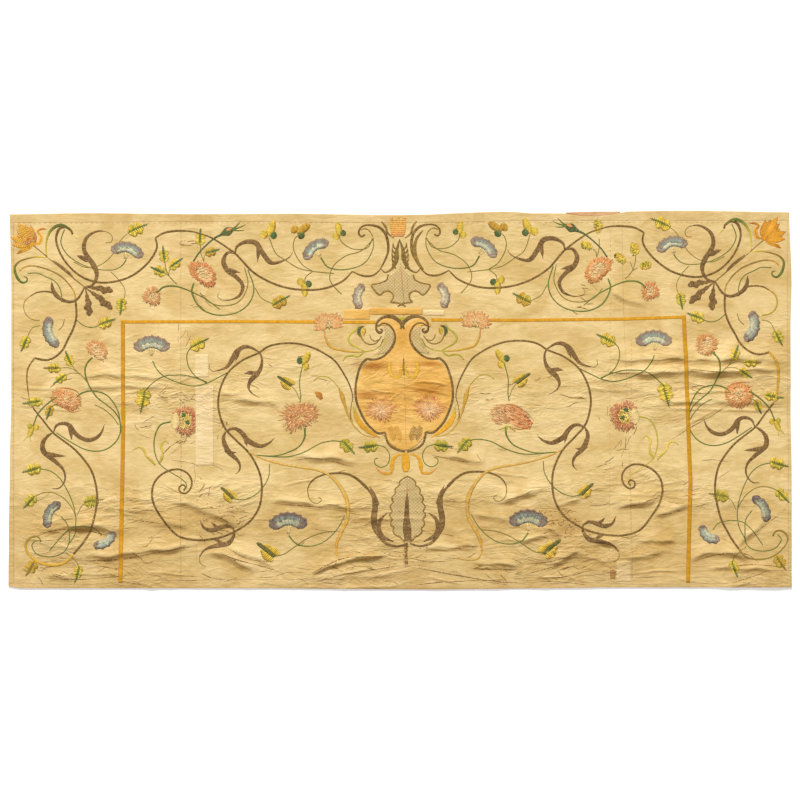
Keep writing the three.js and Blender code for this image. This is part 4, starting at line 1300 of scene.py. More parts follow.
def top_stems(side):
    """The stems of the top border and their buds, beans and leaves."""
    side.stem([(-68, 405), (-82, 380), (-120, 378), (-148, 398), (-152, 414)], 2.3, OLIVE)
    bud(side, (-150, 410), 100)
    side.stem([(-66, 402), (-98, 372), (-135, 360), (-168, 332), (-175, 300), (-160, 278), (-146, 264)],
              2.3, OLIVE)
    fan(side, (-108, 260), 82, 64, 24, False, WORN_BLUES)
    side.stem([(-67, 405), (-67, 380), (-88, 343), (-135, 326), (-180, 332), (-198, 356)],
              [2.0, 2.2, 2.4, 2.6, 3.0, 4])
    fan(side, (-216, 384), 36, 74, 28)
    side.stem([(-165, 316), (-222, 322), (-255, 330), (-284, 348), (-309, 365), (-328, 408)], 2.3, OLIVE)
    bud(side, (-328, 409), 70, YELLOW, CUP_GREEN, 26)
    side.stem([(-246, 416), (-262, 404), (-266, 378), (-244, 338), (-219, 322)], 2.3, OLIVE)
    bud(side, (-258, 416), 34, OCHRE, CUP_GREEN, 26)
    side.stem([(-219, 321), (-236, 306), (-238, 290)], 2.2, OLIVE)
    bud(side, (-238, 296), 270, YELLOW, CUP_GREEN, 24, -1)
    side.stem([(-362, 280), (-345, 254), (-312, 238)], 2.0, OLIVE)
    leaf(side, (-312, 238), (-276, 260), OCHRE, GREEN)
    side.stem([(-515, 292), (-520, 270), (-500, 232), (-470, 215), (-438, 212), (-400, 222), (-374, 246),
               (-365, 280), (-380, 326)], [4, 4, 3.4, 3, 3, 3, 3])
    side.stem([(-500, 268), (-478, 245), (-440, 235), (-402, 246), (-380, 288), (-388, 330)], 2.4, OLIVE)
    petals = (0.5, 1.0, 84, 4.2, side.warm, 0.24)
    paler = (0.42, 0.8, 46, 4.0, [LIGHT_PINK, side.warm[0]], 0.3)
    blossom(side, (-492, 316), 0, [30, 26, 25, 28, 36, 42, 31, 24, 22, 30, 42, 38], [petals, paler], 0.08)
    scatter(side, (-488, 314), -50, (22, 15), 90, 8, 3.0, [CREAM, PALE_PINK, LIGHT_PINK, CREAM], 0.3, 0.2,
            60)
    side.stem([(-445, 413), (-462, 405), (-500, 370), (-516, 346)], [6, 4, 3.6, 4], DARK_GREEN)
    side.work("leaves", LONG_SATIN._replace(thick=0.5, step=2.2), [(-447, 413), (-432, 420), (-414, 428)],
              [8, 22, 8], DARK_GREEN, 0.2)
    side.work("leaves", LONG_SATIN._replace(step=2.0), [(-434, 424), (-420, 428)], [4, 7, 3], SALMON, 1.2)
    for x, y in ((-398, 446), (-386, 438), (-390, 424)):
        side.stem([(-420, 426), ((x - 420) / 2, (y + 426) / 2 - 2), (x, y)], [5, 3, 1.5], GREEN, 0.3)
    for base, tip, more in side.sprays:
        side.spray(side, base, tip, more)
    side.stem([(-490, 346), (-497, 366), (-499, 392)], 2.0, OLIVE)
    side.stem([(-490, 348), (-489, 358), (-482, 367)], 1.8, OLIVE)
    side.stem([(-558, 290), (-574, 306), (-584, 326), (-588, 350)], 2.0, OLIVE)
    side.stem([(-578, 310), (-576, 322), (-572, 332)], 1.8, OLIVE)
    side.stem([(-566, 298), (-580, 312), (-590, 317)], 1.8)
    petals = (0.35, 1.0, 64, 2.6, [LIGHT_PINK, side.warm[1], ROSE], side.faded)
    blossom(side, (-618, 258), 0, [20, 22, 24, 26, 24, 22, 24, 24, 20, 24, 26, 22], [petals], 0.16)
    scatter(side, (-618, 258), 0, (12, 12), 34, 7, 2.8, [PALE_PINK, LIGHT_PINK, CREAM], 0.2, side.faded, 60)
    side.stem([(-608, 268), (-590, 282), (-560, 284), (-520, 270), (-482, 250), (-450, 226)],
              [4.5, 4, 3.2, 2.6, 2.2])


def corner_leaves(side):
    """The scrolls, oak leaves and tulip of the top corner."""
    oak_leaf(side, (-788, 282), (-717, 272))
    oak_leaf(side, (-788, 282), (-719, 227), 18)
    oak_leaf(side, (-786, 282), (-776, 210), 18)
    side.cord([(-878, 354), (-850, 332), (-820, 308), (-788, 282)], [2, 3, 3.5, 3], OLIVE_BROWN)
    side.leaf_stroke([(-866, 348), (-846, 334), (-824, 314), (-812, 300)], [2, 5, 7, 2])
    side.leaf_stroke([(-786, 282), (-770, 286), (-759, 302), (-758, 320), (-766, 338), (-777, 354),
                      (-788, 372), (-789, 390), (-782, 406), (-768, 417), (-753, 422), (-742, 422)],
                     [5, 6, 8, 11, 13, 12, 11, 10, 9, 7, 5, 3])
    side.stem([(-744, 422), (-728, 418), (-718, 406), (-722, 394), (-735, 393)], 1.8, OLIVE_BROWN)
    side.leaf_stroke([(-774, 346), (-790, 354), (-808, 361)], [5, 13, 10, 1])
    side.leaf_stroke([(-788, 281), (-795, 268), (-806, 252), (-822, 245), (-840, 249), (-857, 260),
                      (-867, 276), (-870, 298)], [4, 5, 6, 7, 9, 11, 9, 1])
    side.cord([(-846, 250), (-862, 266), (-885, 271), (-908, 268), (-922, 260)], [4, 6, 5, 4, 3])
    side.stem([(-922, 260), (-935, 250), (-940, 232), (-933, 212), (-918, 201), (-900, 198)], side.curl[1],
              side.curl[0])
    side.stem([(-883, 360), (-884, 385), (-881, 405), (-873, 422), (-862, 432), (-848, 437), (-836, 434),
               (-824, 424)], [3, 3.5, 4, 6, 7, 8, 7, 4], [YELLOW, YELLOW_GREEN, GREEN, GREEN])
    side.stem([(-816, 412), (-806, 402)], [4, 1], YELLOW)
    side.stem([(-884, 356), (-905, 358), (-932, 353), (-952, 345), (-962, 332), (-960, 316), (-952, 300),
               (-942, 293), (-932, 297), (-932, 306), (-940, 308)], [3, 4, 4, 4, 4, 5, 6, 7, 6, 4, 2],
              [YELLOW, OLIVE_BROWN, GREEN, GREEN])
    side.cord([(-950, 322), (-938, 332), (-918, 335), (-892, 330), (-865, 320), (-842, 305), (-826, 288),
               (-814, 270), (-810, 250)], 4, [OCHRE, OLIVE_BROWN, OLIVE_BROWN, OCHRE])
    side.stem([(-930, 316), (-905, 317), (-885, 308), (-864, 298), (-852, 284), (-845, 262), (-845, 245)],
              2.4)
    side.stem([(-838, 426), (-847, 395), (-835, 368), (-812, 348), (-778, 332), (-745, 325), (-712, 326),
               (-694, 336), (-684, 350)], [2.6, 2.6, 2.4, 2, 2, 2, 3])
    side.stem([(-815, 345), (-784, 331), (-752, 336), (-728, 352), (-712, 372)], 2.0, OLIVE)
    fan(side, (-679, 382), -12, 82, 29)
    side.stem([(-702, 392), (-690, 408), (-672, 420)], 1.8, OLIVE)
    leaf(side, (-672, 420), (-632, 439), YELLOW, GREEN)
    side.stem([(-695, 245), (-688, 258), (-688, 278), (-704, 302), (-722, 320)], [1.6, 1.6, 1.8, 2], OLIVE)
    leaf(side, (-695, 249), (-699, 213), YELLOW, GREEN)
    side.stem([(-808, 200), (-790, 186), (-770, 181), (-748, 188)], 2.2, GREEN)
    leaf(side, (-748, 188), (-712, 202), YELLOW, GREEN)
    side.stem([(-916, 386), (-896, 370), (-880, 356)], [3, 2.4, 2.4], OLIVE_BROWN)


def side_scroll(side):
    """Brown scrolls down the end border."""
    side.cord([(-811, 252), (-808, 222), (-809, 202), (-817, 176), (-830, 150), (-842, 126), (-858, 110),
               (-875, 101), (-892, 100), (-912, 105)], 6)
    side.cord([(-912, 105), (-922, 92), (-930, 76), (-932, 55), (-930, 32), (-927, 10), (-922, -8),
               (-915, -22)], side.outer, side.outer_tint)
    side.cord([(-915, -22), (-892, -50), (-866, -82), (-840, -102), (-815, -121), (-790, -148),
               (-770, -178), (-760, -210), (-756, -242), (-760, -280), (-770, -320), (-790, -355),
               (-815, -385)], [5, 5.5, 6, 6, 6, 6])
    side.stem([(-815, -385), (-835, -405), (-862, -412), (-895, -408), (-918, -395), (-932, -376),
               (-935, -362), (-928, -348), (-912, -340), (-900, -344), (-897, -354)], side.foot[1],
              side.foot[0])
    forked(side, [(-865, -80), (-858, -64), (-840, -58), (-825, -64), (-812, -82), (-795, -95), (-778, -100),
                  (-758, -94), (-745, -80), (-738, -60)],
           [3, 6, 9, 11, 11, 10, 10, 9, 5, 1], [(-826, -66), (-822, -82), (-820, -98)], (9, 9, 3))
    forked(side, [(-865, -80), (-882, -92), (-892, -108), (-890, -128), (-875, -142), (-858, -156),
                  (-842, -172), (-836, -191), (-840, -208), (-852, -220), (-868, -221)],
           [3, 7, 11, 13, 12, 10, 7, 5, 4, 3, 1.5], [(-884, -134), (-862, -138), (-834, -140)],
           (11, 11, 7, 1))


def side_stems(side):
    """Stems, flowers and leaves of the end border."""
    side.stem([(-858, -82), (-822, -105), (-790, -122), (-758, -128), (-730, -121), (-708, -102),
               (-698, -78), (-700, -52), (-712, -30), (-735, -10), (-756, 6), (-768, 22), (-778, 40),
               (-785, 60), (-786, 80), (-780, 94), (-768, 106)], [2.4, 2.6, 2.8, 3, 3, 3, 3.4, 4, 4.5])
    side.stem([(-698, -75), (-701, -40), (-712, -12), (-732, 12), (-755, 21), (-780, 22), (-800, 14),
               (-806, 8)], [2.6, 3, 3.2, 3.6, 4])
    side.stem([(-762, -12), (-738, -24), (-714, -46), (-703, -62)], 2)
    petals = (0.36, 1.0, 84, 2.6, [LIGHT_PINK, side.warm[1], APRICOT], 0.34)
    blossom(side, (-758, 124), 0, side.pink, [petals], 0.14)
    scatter(side, (-755, 121), -58, (24, 11), 80, 8, 2.8, [CREAM, PALE_PINK, LIGHT_PINK], 0.3, 0.15, 60)
    petals = (0.5, 1.0, 90, 3.4, [SALMON, side.warm[1]], 0.35)
    paler = (0.3, 0.8, 50, 3.4, [LIGHT_PINK, SALMON, SALMON], 0.35)
    blossom(side, (-832, 0), -16, side.rose, [petals, paler], 0.08)
    scatter(side, (-828, 0), -16, (24, 14), 90, 8, 3.0, [PALE_PINK, LIGHT_PINK, SALMON, CREAM], 0.3, 0.25,
            40)
    for route in ([(-868, 22), (-850, 14), (-836, -4), (-812, -22)],
                  [(-858, -4), (-842, -16), (-818, -30), (-798, -26)],
                  [(-860, 30), (-836, 30), (-808, 22), (-796, 4)]):
        side.work("flowers", FINE_TWIST._replace(thick=0.3), route, [1, 3.2, 2.6, 1], RUST, 0.4, 0.25)
    side.stem([(-778, 40), (-792, 58), (-808, 72), (-821, 90)], [2.4, 1.8, 1.8], OLIVE)
    side.stem([(-808, 72), (-828, 81), (-853, 79)], 1.6, OLIVE)
    side.stem([(-798, 66), (-820, 67), (-838, 60)], 1.6, OLIVE)
    leaf(side, (-822, 90), (-835, 122), YELLOW, GREEN, 0.9)
    leaf(side, (-853, 79), (-889, 80), YELLOW, OLIVE, 0.9)
    leaf(side, (-838, 60), (-865, 41), YELLOW, GREEN, 0.9)
    side.stem([(-856, 8), (-875, -5), (-892, -20), (-906, -38), (-912, -54), (-917, -66)],
              [4, 3.6, 3.4, 3], GREEN)
    bud(side, (-916, -64), 248, YELLOW, YELLOW_GREEN, 19)
    for x, y in ((-940, -102), (-922, -104)):
        side.stem([(-924, -84), ((x - 926) / 2, -94), (x, y)], [3, 2, 1], YELLOW_GREEN, 0.1, 0.3)
    leaf(side, (-872, -18), (-883, -48), OCHRE, DARK_GREEN, 0.9)
    side.stem([(-870, -17), (-862, -12), (-846, -10)], 2.2, GREEN)
    leaf(side, (-900, -4), (-941, -9), YELLOW, GREEN, 0.8)
    fan(side, (-880, 166), 106, 80, 27, False)
    side.stem([(-898, 186), (-918, 180), (-932, 154)], 1.8, OLIVE)
    leaf(side, (-932, 154), (-946, 122), YELLOW, GREEN)
    side.stem([(-838, 202), (-843, 184), (-853, 174)], 2.0, OLIVE)
    leaf(side, (-903, -170), (-942, -180), YELLOW, GREEN)
    side.stem([(-900, -171), (-872, -178), (-850, -195), (-835, -218), (-822, -245), (-812, -275),
               (-808, -305), (-812, -335), (-828, -362)], 2.4)
    leaf(side, (-914, -243), (-939, -269), YELLOW, GREEN)
    side.stem([(-915, -242), (-892, -232), (-865, -232), (-840, -245), (-822, -265), (-809, -288)], 2.2,
              OLIVE)
    leaf(side, (-782, -256), (-741, -248), YELLOW_GREEN, OLIVE)
    side.stem([(-782, -255), (-795, -265), (-806, -288)], 1.8, OLIVE)
    fan(side, (-877, -281), 64, 72, 25, False, KEPT_BLUES)
    side.stem([(-846, -290), (-830, -310), (-825, -335), (-828, -362), (-840, -380), (-862, -390),
               (-892, -390), (-910, -382), (-919, -362), (-908, -350)], 2.4)
    fan(side, (-732, -356), 216, 64, 24, False)
    side.stem([(-745, -338), (-760, -322), (-792, -315), (-822, -320), (-848, -345), (-875, -376)], 2.2)
    leaf(side, (-801, -420), (-812, -455), YELLOW, GREEN, 0.8)
    side.stem([(-801, -420), (-809, -402), (-835, -380)], 2.0, OLIVE)
    leaf(side, (-914, -408), (-934, -438), OCHRE, OLIVE_BROWN, 1.1)


def half_design(side):
    """Everything that both halves have."""
    for part in (field_scroll, rope_branch, field_stems, field_corner, centre_leaf_scroll, cartouche_half,
                 beside_cartouche, top_scroll, top_stems, corner_leaves, side_stems, side_scroll):
        part(side)
    tulip(side, (-914, 386))


# The two halves with what differs between them: colours, widths, the outlines of flowers and the sprays
# beside the top carnation.
lefts = Side(
    "left", left,
    warm=[RUST, SALMON], faded=0.38, poppy_stem=GREEN,
    curl=(OLIVE_BROWN, 1.8), outer=[5, 5, 4.5, 4, 2, 3], outer_tint=OLIVE_BROWN,
    foot=([OCHRE, OCHRE, OLIVE], [5, 6, 7, 7, 6.5, 6, 5, 3]), mark=[MUSTARD, DARK_MUSTARD],
    pink=[27, 26, 25, 26, 28, 28, 24, 17, 14, 18, 32, 33],
    rose=[40, 34, 24, 22, 26, 36, 42, 34, 24, 22, 25, 34],
    gold=(srgb(238, 190, 76), srgb(230, 172, 62), srgb(190, 98, 30)), dotted=True, spray=leaf,
    sprays=[
        ((-588, 350), (-592, 384), YELLOW), ((-572, 332), (-544, 353), YELLOW),
        ((-590, 317), (-622, 332), YELLOW), ((-499, 392), (-498, 427), YELLOW),
        ((-482, 367), (-452, 376), OCHRE),
    ],
)
rights = Side(
    "right", right,
    warm=[SALMON, APRICOT], faded=0.3, poppy_stem=[YELLOW_GREEN, YELLOW_GREEN, YELLOW],
    curl=([OCHRE, YELLOW_GREEN], 4.0), outer=[7, 8, 9, 8, 6, 3], outer_tint=OCHRE,
    foot=([OLIVE_BROWN, OLIVE, OLIVE_BROWN], [5, 4, 4, 3, 3, 5, 4]), mark=[OLIVE_BROWN, BROWN],
    pink=[29, 30, 29, 28, 28, 29, 28, 26, 25, 27, 28, 29],
    rose=[38, 38, 32, 30, 30, 32, 34, 34, 32, 34, 36, 36],
    gold=(srgb(222, 164, 60), srgb(212, 146, 44), srgb(168, 92, 28)), dotted=False, spray=pod,
    sprays=[
        ((-587, 346), (-585, 380), 20), ((-562, 330), (-536, 354), 18), ((-597, 317), (-625, 327), 17),
        ((-498, 404), (-500, 440), 19), ((-482, 371), (-452, 381), 17),
    ],
)
centre = Side("centre", left)


def left_carnation(side):
    """The pink carnation of the left field, its petals scattered over with short stitches."""
    reach = [47, 43, 32, 27, 31, 44, 52, 44, 46, 38, 30, 38]
    pinks = [LIGHT_PINK, DUSTY_PINK, SALMON, DUSTY_ROSE]
    petals = (0.35, 1.0, 90, 2.6, [DUSTY_PINK, DUSTY_ROSE], 0.36)
    blossom(side, (-250, -38), 0, reach, [petals], 0.22)
    scatter(side, (-246, -34), 0, (40, 26), 210, 9, 2.6, pinks, 0.15, 0.25, 25)
    scatter(side, (-268, -62), 0, (14, 16), 40, 9, 2.6, pinks, 0.15, 0.25, 60)


def right_carnation(side):
    """The carnation of the right field, seen from the side: broad petals with dark veins."""
    for wide, route in ((20, [(250, -20), (284, -22), (316, -42)]),
                        (19, [(258, -36), (292, -42), (330, -60)]),
                        (13, [(268, -52), (296, -60), (326, -70)])):
        widths = [8, wide, wide + 3, wide, 9]
        side.work("flowers", LONG_SATIN, route, widths, [LIGHT_PINK, SALMON, RUST], 0.05, 0.34)
    for vein in ([(246, -13), (284, -13), (318, -34), (334, -52)], [(252, -24), (284, -26), (318, -44)],
                 [(258, -36), (288, -40), (324, -58)], [(268, -52), (296, -58), (326, -68)],
                 [(276, -68), (300, -73), (330, -66)]):
        side.work("flowers", FINE_TWIST._replace(thick=0.2), vein, [0.8, 3.0, 2.4, 0.8],
                  [DUSTY_ROSE, DEEP_CRIMSON], 0.4, 0.3)
    dark = [LIGHT_PINK, DUSTY_ROSE, DEEP_CRIMSON, RUST, PALE_PINK]
    scatter(side, (292, -40), -25, (36, 20), 120, 11, 1.7, dark, 0.4, 0.25, 2)
    pale = [LIGHT_PINK, PALE_PINK, DUSTY_PINK, SALMON]
    scatter(side, (252, -36), 0, (24, 25), 160, 9, 2.4, pale, 0.35, 0.25, 150)
    for tip in ((248, -74), (262, -80), (288, -78)):
        hatch(side, [(270, -64), tip], 3.4, YELLOW_GREEN, 0.4, 0.15)


half_design(lefts)
half_design(rights)
left_carnation(lefts)
right_carnation(centre)


# ---------------------------------------------------------------- the middle line

def both_sides(half):
    """A closed outline from its left half, given from the top down."""
    half = np.array(half, float)
    return np.concatenate([half, flipped(half)[::-1]])


def column(side):
    """The netted column below the cut tulip, with its dark leaves."""
    edge = smooth_line([(-30, 314), (-33, 301), (-50, 292), (-71, 287), (-68, 279), (-59, 268), (-50, 262),
                        (-40, 270), (-28, 272), (-18, 264), (-18, 252), (-24, 245), (-4, 242), (14, 234)],
                       3)
    top = smooth_line([(2, 346), (-5, 330), (-18, 318), (-30, 314)], 3)
    loop = both_sides(np.concatenate([top[:-1], edge[:-1]]))[::-1]
    net = filled("net_column", NETTING, loop, 4, 0.1, 0.25)
    for half in (side, side.mirrored()):
        half.leaf_stroke([(-1, 402), (-8, 372), (-10, 346), (-22, 326), (-38, 319), (-48, 328)],
                         [2, 7, 12, 8, 4, 2], NET_BROWN)
        for y, long in ((388, 12), (376, 16), (364, 17), (352, 16), (340, 14)):
            blade = [(-10, y - 12), (-12 - 0.4 * long, y - 4), (-10 - 0.6 * long, y + 6)]
            half.leaf_stroke(blade, [3, 5, 1], NET_BROWN)
        half.work("metal", TWISTED._replace(thick=0.8, step=3.0), edge, 3.6, OLIVE_BROWN, 0.4)
        half.work("stems", COUCHING, [(-14, 308), (-15, 262)], 1.1, RUST, 0.4, 0.45)
    side.work("stems", COUCHING, [(2, 330), (10, 244)], 1.3, RUST, 0.4, 0.4)
    return net


PALM_MIDDLE = 19
PALM_TOP, PALM_BASE = -190, -353
PALM_REACH = [2, 18, 26, 33, 37, 40, 41, 41, 39, 36, 28, 4]  # half widths from the top down


def palm(side):
    """The scalloped palm leaf between the two heavy scrolls."""
    shares = np.linspace(0, 1, 90)
    wide = np.interp(shares, np.linspace(0, 1, len(PALM_REACH)), PALM_REACH)
    wide = wide + 6.5 * np.abs(np.sin(shares * 7.5 * math.pi)) - 3
    y = PALM_TOP + (PALM_BASE - PALM_TOP) * shares
    edges = [np.column_stack([PALM_MIDDLE + hand * wide, y]) for hand in (-1, 1)]
    net = filled("net_palm", NETTING, np.concatenate([edges[0], edges[1][::-1]])[::-1], 4, 0.1, 0.3)
    for edge in edges:
        side.work("metal", TWISTED._replace(step=2.0), edge, 3.2, OLIVE_BROWN, 0.35)
        for share in (0.2, 0.34, 0.48, 0.62, 0.76):
            start = (PALM_MIDDLE, PALM_TOP + (PALM_BASE - PALM_TOP) * share)
            end = edge[int(min(0.97, share + 0.17) * (len(edge) - 1))]
            bend = ((start[0] + end[0]) / 2, (start[1] + end[1]) / 2 + 3)
            side.work("metal", OUTLINE._replace(thick=0.2, step=3.0), [start, bend, end], 1.3, OLIVE_BROWN,
                      0.3)
    side.work("stems", FINE_TWIST._replace(thick=0.3, lay="across"), [(18, -206), (18, -262)],
              [1, 2.6, 1.4], RUST, 0.5, 0.3)
    side.work("metal", LAID._replace(thick=0.4), [(18, -228), (17, -280), (17, -312), (20, -350)],
              [2, 10, 13, 21, 18], TAUPE, 0.4)
    side.work("stems", SATIN._replace(thick=0.2, step=3.0), [(16, -358), (15, -386), (16, -410)],
              [10, 7, 8], SPLIT_BROWN, 0.0, 0.3)
    return net


def crown(side):
    """A small cut flower of five upright tongues with rows of orange couching."""
    tints = [srgb(230, 168, 112), srgb(234, 190, 112), srgb(234, 192, 116)]
    for shift, top in ((-17, 459), (-9, 453), (-1, 461), (7, 454), (15, 460)):
        tongue = [(-4 + 0.6 * shift, 408), (-4 + 0.95 * shift, 428), (-4 + shift, top)]
        side.work("flowers", THIN_SATIN._replace(step=3.0), tongue, [6, 9, 9, 8, 2], tints, 0.2, 0.25)
        for y in np.arange(413, top - 3, 5.0):
            x = -4 + shift * (0.9 if y < 428 else 1.0)
            hatch(side, [(x - 3.4, y), (x + 3.4, y + 1)], 2.2, srgb(208, 126, 70), 0.5, 0.2, "flowers", 0.2)


def middle(side):
    """What lies on the middle line; the two nets are given back."""
    nets = [column(side), palm(side)]
    crown(side)
    side.leaf_stroke([(57, 424), (41, 402), (36, 376), (43, 348), (58, 326)], [3, 7, 10, 8, 4], OLIVE_BROWN)
    side.work("leaves", SATIN._replace(step=2.0), [(-4, 205), (8, 203), (20, 205)], [5, 9, 5],
              YELLOW_GREEN, 0.6, 0.1)
    side.work("flowers", SATIN._replace(thick=0.2), [(9, 104), (10, 62)], [3, 6, 4], OLIVE_BROWN, ON_TRIM,
              0.1)
    side.work("stems", COUCHING._replace(thick=0.15), [(9, 116), (12, 20), (14, -60), (15, -112)], 1.3,
              BROWN, ON_TRIM, 0.4)
    side.work("leaves", SATIN, [(13, -132), (14, -150), (15, -180)], [14, 18, 20, 20, 10], ORANGE_YELLOW,
              0.2, 0.2)
    for y in np.arange(-176, -136, 6.0):
        hatch(side, [(7, y), (21, y + 1)], 2.0, MUSTARD, 0.5, 0.1, thick=0.25)
    return nets


nets = middle(centre)


# ---------------------------------------------------------------- running stitches and braid

# Upright rows of running stitches: where each lies across, and its ends.
SEAMS = ((-508, 236, 430), (-508, -400, -180), (523, -400, 430), (-548, -360, -60), (575, -360, 160),
         (8, 210, 300))
tacking = Stitching("running_stitches", SILK_THREAD, "edge_band")
# The splits in the silk and specks of soil, and with them the painted shadow lines along the wrinkles.
splits_specks_and_shadows = Stitching("silk_splits_specks_and_shadow_lines", SILK_THREAD, "silk_satin")


def run_of_stitches(route, pitch, long):
    """A row of short stitches along a straight line."""
    line = smooth_line(route, pitch)
    for a, b in zip(line[:-1], line[1:]):
        share = long / math.dist(a, b)
        start = a + rng.uniform(-0.5, 0.5, 2)
        tacking.stroke(left, TACKED, [start, start + (b - a) * share], [0.7, 1.0, 0.7], STITCH_TAN, 0.05)


run_of_stitches([(-955, 442), (960, 444)], 13, 6)
for x, low, high in SEAMS:
    run_of_stitches([(x, low), (x + 3, high)], 12, 5)


def split(start, degrees, long, wide):
    """One ragged split in the silk: a thin dark line that wanders."""
    count = max(3, int(long / 6))
    wander = np.cumsum(rng.uniform(-1.0, 1.0, count)) * 2.6
    points = turned(start, degrees, [(long * i / (count - 1), wander[i] - wander[0]) for i in range(count)])
    splits_specks_and_shadows.stroke(left, BROKEN, points, [0.4, wide, 0.7 * wide, wide, 0.3], SPLIT_BROWN, 0.02)


# Where the silk has split: middle, half widths, number and direction of the splits.
SPLIT_ZONES = [
    (-565, 8, 50, 12, 12, 0), (-534, -104, 30, 18, 9, 20), (-495, -206, 20, 38, 7, 80),
    (-452, -304, 52, 40, 19, 0), (-443, -70, 16, 30, 6, 70), (-646, -64, 32, 22, 6, 0),
    (-828, -428, 120, 20, 16, 0), (540, -100, 42, 70, 16, 60), (396, -322, 52, 38, 18, 0),
    (320, -430, 140, 18, 15, 0), (80, 24, 46, 20, 10, 0), (-530, 150, 24, 40, 7, 80),
    (840, 16, 120, 14, 12, 0), (-900, 20, 60, 30, 7, 0), (100, -394, 70, 10, 6, 0),
    (-130, -410, 90, 14, 6, 10), (-250, 60, 130, 50, 9, 0), (300, 20, 120, 40, 10, 0),
    (700, -230, 110, 40, 7, 10), (200, -120, 90, 16, 4, 0), (-512, 252, 26, 18, 11, -50),
    (-535, 396, 34, 14, 6, 10), (440, 250, 40, 40, 9, 0),
]
FARTHEST_SPLIT = 900  # across, clear of the end of the cloth


def gathered(count, across, up):
    """Places gathered about the middle of a zone, within its half widths."""
    return np.clip(rng.normal(size=(count, 2)), -1.6, 1.6) * (0.6 * across, 0.6 * up)


for x, y, across, up, count, degrees in SPLIT_ZONES:
    for off_x, off_y in gathered(count, across, up):
        at = (min(x + off_x, FARTHEST_SPLIT), y + off_y)
        split(at, degrees + 26 * rng.normal(), rng.uniform(8, 34), rng.uniform(0.8, 2.1))
split((414, 9), -2, 52, 2.2)

# Painted shadow lines along the sharpest wrinkles: the width and the route of each.
WRINKLE_SHADOWS = [
    (2.2, [(-229, -437), (-187, -414), (-135, -394), (-31, -390)]),
    (1.3, [(-187, -446), (-110, -430), (0, -414)]), (2.0, [(-448, -383), (-400, -400), (-312, -424)]),
    (1.4, [(-436, -366), (-380, -396), (-330, -404)]), (1.6, [(-500, -430), (-470, -444), (-437, -448)]),
    (1.6, [(-323, -257), (-270, -262), (-200, -268), (-83, -290)]),
    (1.6, [(-271, -151), (-208, -146), (-115, -167)]), (2.2, [(-906, -333), (-820, -322), (-708, -342)]),
    (2.4, [(-807, -402), (-700, -398), (-604, -380), (-505, -364)]),
    (2.0, [(-677, -375), (-650, -392), (-635, -407), (-612, -401)]),
    (1.4, [(-687, -297), (-600, -308), (-531, -322)]),
    (1.6, [(-890, -445), (-800, -448), (-720, -442), (-667, -438)]),
    (1.8, [(-596, -141), (-578, -120), (-547, -99)]), (1.2, [(-573, -150), (-520, -158), (-500, -168)]),
    (2.0, [(29, -417), (156, -440), (240, -453), (312, -458)]),
    (1.8, [(40, -462), (100, -455), (172, -452)]), (1.5, [(16, -392), (60, -402), (120, -404)]),
    (1.5, [(180, -446), (220, -450), (262, -448)]), (1.6, [(396, -424), (430, -416), (450, -424)]),
    (2.2, [(177, -420), (230, -423), (292, -423)]), (2.0, [(318, -411), (380, -402), (443, -385)]),
    (2.2, [(120, -372), (160, -368), (198, -365)]), (1.4, [(312, -436), (370, -420), (432, -402)]),
    (1.5, [(365, -444), (420, -440), (469, -427)]), (1.8, [(78, -138), (120, -146), (172, -156)]),
    (1.8, [(262, -250), (300, -240), (333, -224)]), (1.5, [(677, -99), (730, -66), (780, -38), (823, -10)]),
    (1.8, [(547, -271), (590, -262), (635, -245)]), (1.8, [(646, -286), (680, -282), (713, -271)]),
    (2.2, [(729, -404), (800, -384), (865, -385), (896, -406)]),
    (1.8, [(807, -417), (880, -411), (958, -417)]), (1.6, [(885, -333), (915, -310), (948, -286)]),
    (1.3, [(500, -427), (590, -443), (651, -440)]), (1.3, [(823, -458), (870, -444), (917, -427)]),
    (2.4, [(30, 46), (60, 34), (90, 46), (126, 36)]), (2.6, [(24, 26), (60, 20), (86, 8), (128, 14)]),
    (2.4, [(-62, 40), (-30, 30), (-4, 34)]), (2.2, [(-70, 22), (-40, 28), (-10, 12), (4, 2)]),
    (2.2, [(30, 4), (70, -4), (120, -4)]), (2.0, [(70, 60), (100, 66), (132, 58)]),
    (1.5, [(505, 72), (560, 66), (640, 70)]), (1.5, [(720, 78), (800, 70), (900, 76)]),
]
LOWEST_WRINKLE = -463  # clear of the lower edge
FINE_WRINKLE_SHADOWS = 84
# Specks of soil where the cloth is stained: middle, half widths and number.
SPECK_ZONES = ((405, -312, 70, 34, 60), (-442, -300, 52, 40, 46), (10, -392, 60, 24, 26))


def fine_wrinkle_shadow():
    """The width and the route of the painted shadow line of one of the slight wrinkles, which gather towards
    the lower edge.
    """
    x, y = rng.uniform(-930, 860), -456 + 310 * rng.random() ** 1.7
    long, rise = rng.uniform(24, 84), rng.normal() * 9
    heights = (y, y + 0.3 * rise + rng.normal() * 3, y + rise)
    route = [(x + share * long, max(height, LOWEST_WRINKLE)) for share, height in zip((0, 0.5, 1), heights)]
    return rng.uniform(0.6, 1.4), route


for x, y, across, up, count in SPECK_ZONES:
    for off_x, off_y in gathered(count, across, up):
        at, turn = (x + off_x, y + off_y), math.radians(rng.uniform(-60, 60))
        end = (at[0] + 5 * math.cos(turn), at[1] + 5 * math.sin(turn))
        speck = [1.2, rng.uniform(1.6, 3.2), 0.6]
        splits_specks_and_shadows.stroke(left, BROKEN._replace(thick=0.04), [at, end], speck, SPECK_AND_SHADOW_BROWN, 0.02, 0.4)
